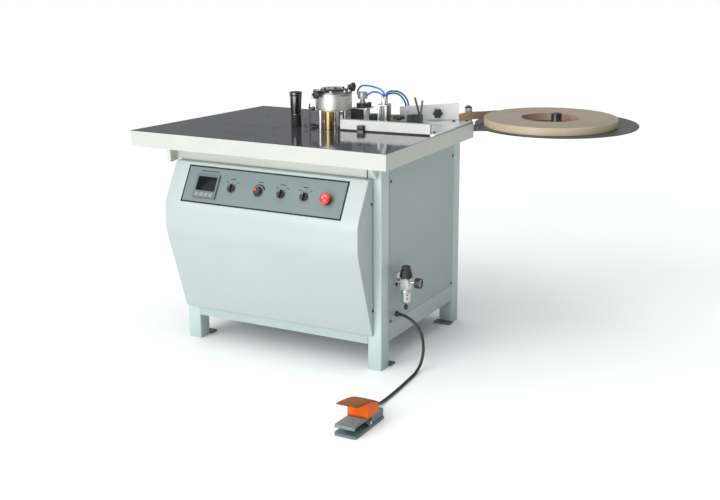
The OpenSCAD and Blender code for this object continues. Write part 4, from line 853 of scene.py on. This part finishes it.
# ---- foot pedal
pedalTeal = finish("pedalEnamel", colour=(0.075, 0.125, 0.13), second=(0.10, 0.155, 0.16), cloud=14, grain=260,
rough=(0.35, 0.5), bump=0.12, fleck=(0.16, 0.21, 0.21))
treadGrey = finish("treadWorn", colour=(0.19, 0.225, 0.225), second=(0.15, 0.18, 0.185), cloud=16, grain=120,
    rough=(0.35, 0.5), metal=0.3, bump=0.25, fleck=(0.27, 0.30, 0.30))
guardSkin = finish("guardEnamel", colour=(0.80, 0.135, 0.008), second=(0.72, 0.115, 0.006), cloud=10, grain=300,
    rough=(0.4, 0.5), bump=0.06, specular=0.2)
# the guard's roof is the orange enamel painted dark brown: painted shade for the dim top of the visor
roofShadedSkin = finish("guardRoofShaded", colour=(0.20, 0.075, 0.018), second=(0.30, 0.085, 0.014), cloud=22, grain=300,
    rough=(0.4, 0.55), bump=0.08, specular=0.12)
dress(pedalTeal, "pedal_base")
dress(treadGrey, "pedal_treadle")
guardLo, guardHi = (np.array(p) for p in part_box("pedal_guard"))
guardSpec = {"rows": ((-811, 78), (-850, 96.6), (-895, 107.6), (-940, 113.4), (-966, 116), (-980, 116.4)),
    "wall": 0.0026, "crown": 0.0022, "corner": 0.008}
roofLine = smoothPath(np.array(guardSpec["rows"]) * 0.001, 8)
mid = (guardLo[0] + guardHi[0]) / 2
half = (guardHi[0] - guardLo[0]) / 2 - 0.0003
u = np.linspace(-1, 1, 25)
# roof: height = profile - lip * u^8 near the long edges; the visor's front corners are cut back as u^6
front = np.clip((-roofLine[:, 0] - 0.93) / 0.05, 0, 1)
roofX = mid + half * u[None, :] * np.ones((len(roofLine), 1))
roofY = roofLine[:, :1] + 0.010 * front[:, None] * np.abs(u[None, :]) ** 6
roofZ = roofLine[:, 1:2] - 0.0030 * np.abs(u[None, :]) ** 8 - guardSpec["crown"] * u[None, :] ** 2 * 0.5
roof = makePiece("guardRoof", np.stack([roofX, roofY, roofZ], axis=-1).reshape(-1, 3),
    gridFaces(len(roofLine), len(u)), roofShadedSkin, "frame", sharp=60,
                 replace=("pedal_guard",), slot="guard_orange")
thicken(roof, guardSpec["wall"])
# walls: rounded rectangle seen from above, rising from the housing to just under the roof
q = np.linspace(0, np.pi / 2, 7)
ang = np.concatenate([q + k * np.pi / 2 for k in range(4)])
c = guardSpec["corner"]
wy0, wy1 = -0.8960, -0.8115
wx = np.repeat([mid + half - c, mid - half + c, mid - half + c, mid + half - c], 7) + (c - 0.0004) * np.cos(ang)
wy = np.repeat([wy1 - c, wy1 - c, wy0 + c, wy0 + c], 7) + (c - 0.0004) * np.sin(ang)
topZ = np.interp(-wy, -roofLine[:, 0], roofLine[:, 1]) - 0.0040
lowZ = np.where(wy < -0.866, 0.0426, 0.0403)
lift = np.linspace(0, 1, 8)[:, None]
wallGrid = np.stack([np.broadcast_to(wx, (8, len(wx))), np.broadcast_to(wy, (8, len(wy))),
    lowZ + (topZ - lowZ) * lift], axis=-1)
thicken(makePiece("guardWalls", wallGrid.reshape(-1, 3), gridFaces(8, len(wx), closeCols=True), guardSkin, "frame",
    slot="guard_orange"), 0.0024)
# tread: ribs across the plate and a rolled lip at the toe
ribs = [cappedTube(np.array([[mid - 0.034, y, 0.0417 - (y + 0.889) * 0.0178], [mid, y, 0.0419 - (y + 0.889) * 0.0178],
[mid + 0.034, y, 0.0417 - (y + 0.889) * 0.0178]]), 0.0010, 8)
        for y in np.arange(-0.905, -0.975, -0.0085)]
makePiece("treadRibs", *joinParts(ribs), treadGrey, "pedal_treadle")
lipMetal = finish("treadLip", colour=(0.17, 0.21, 0.21), second=(0.13, 0.17, 0.17), cloud=60, grain=300,
    rough=(0.4, 0.5), metal=0.1, bump=0.1)
lipLine = np.array([[-978.4, 43.2], [-983, 42.2], [-986.6, 39.8], [-988.0, 36], [-988.2, 31.2]]) * 0.001
lipPath = smoothPath(lipLine, 6)
lipX = np.linspace(mid - 0.0388, mid + 0.0388, 9)
lipGrid = np.stack([np.broadcast_to(lipX[None, :], (len(lipPath), 9)),
    np.broadcast_to(lipPath[:, :1], (len(lipPath), 9)),
                    np.broadcast_to(lipPath[:, 1:2], (len(lipPath), 9))], axis=-1)
thicken(makePiece("treadLip", lipGrid.reshape(-1, 3), gridFaces(len(lipPath), 9), lipMetal, "pedal_treadle"), 0.0008,
    0)
pinEnd = [(0, 0), (4.6, 0), (5.2, 0.8), (5.2, 2.0), (4.0, 3.0), (0, 3.2)]
makePiece("pedalPinEnds", *joinParts([lathe([(r, h - 0.4) for r, h in pinEnd], (mid + s * 0.0436, -0.878, 0.022),
    (s, 0, 0), 28) for s in (-1, 1)]), zincAlloy,
          "pedal_treadle")
print("pedal done")

# ---- floor and light
floorMesh = bpy.data.meshes.new("studioFloor")
floorMesh.from_pydata([(-60, -60, 0), (60, -60, 0), (60, 60, 0), (-60, 60, 0)], [], [(0, 1, 2, 3)])
floorMat = bpy.data.materials.new("studioFloor")
floorMat.use_nodes = True
floorShader = floorMat.node_tree.nodes["Principled BSDF"]
for socket, value in (("Base Color", (0.92, 0.92, 0.92, 1)), ("Roughness", 0.9), ("Specular IOR Level", 0.1)):
    floorShader.inputs[socket].default_value = value
floorMesh.materials.append(floorMat)
floor = bpy.data.objects.new("studioFloor", floorMesh)
scene.collection.objects.link(floor)

lightSpec = {"horizon": 0.27, "zenith": 1.42, "flag": 0.34, "key": 1.5, "keyAngle": 50,
    "keyFrom": (-0.30, -0.95, 0.50), "box": 36}
world = bpy.data.worlds.new("studioSky")
world.use_nodes = True
sky = world.node_tree
ray = addNode(sky, "SeparateXYZ", {"Vector": addNode(sky, "TexCoord", {}).outputs["Generated"]}).outputs
# sky strength = horizon + zenith * height squared - flag * rightward part, both parts clamped at zero
height = addNode(sky, "Math", {0: ray["Z"], 1: 0}, operation="MAXIMUM").outputs[0]
rightward = addNode(sky, "Math", {0: ray["X"], 1: 0}, operation="MAXIMUM").outputs[0]
square = addNode(sky, "Math", {0: height, 1: height}, operation="MULTIPLY").outputs[0]
total = addNode(sky, "Math", {0: square, 1: lightSpec["zenith"], 2: lightSpec["horizon"]},
                operation="MULTIPLY_ADD").outputs[0]
dim = addNode(sky, "Math", {0: rightward, 1: -lightSpec["flag"], 2: total}, operation="MULTIPLY_ADD").outputs[0]
sky.nodes["Background"].inputs["Color"].default_value = (0.98, 1.0, 1.0, 1)
sky.links.new(dim, sky.nodes["Background"].inputs["Strength"])
scene.world = world
sun = bpy.data.lights.new("keyLight", "SUN")
sun.energy, sun.angle = lightSpec["key"], math.radians(lightSpec["keyAngle"])
sunObject = bpy.data.objects.new("keyLight", sun)
keyFrame = np.eye(4)
keyFrame[:3, :3] = axisFrame(lightSpec["keyFrom"])
sunObject.matrix_world = Matrix(keyFrame.tolist())
scene.collection.objects.link(sunObject)
box = bpy.data.lights.new("softBox", "AREA")
box.shape, box.size, box.size_y, box.energy = "RECTANGLE", 2.6, 1.6, lightSpec["box"]
boxObject = bpy.data.objects.new("softBox", box)
boxFrame = np.eye(4)
# an area light shines along its own -Z, so its +Z faces away from the machine
boxFrame[:3, :3] = np.stack([[1.0, 0, 0], [0, 0, 1.0], [0, -1.0, 0]], axis=1)
boxFrame[:3, 3] = (-0.1, -3.2, 0.85)
boxObject.matrix_world = Matrix(boxFrame.tolist())
scene.collection.objects.link(boxObject)
print("floor and light done")
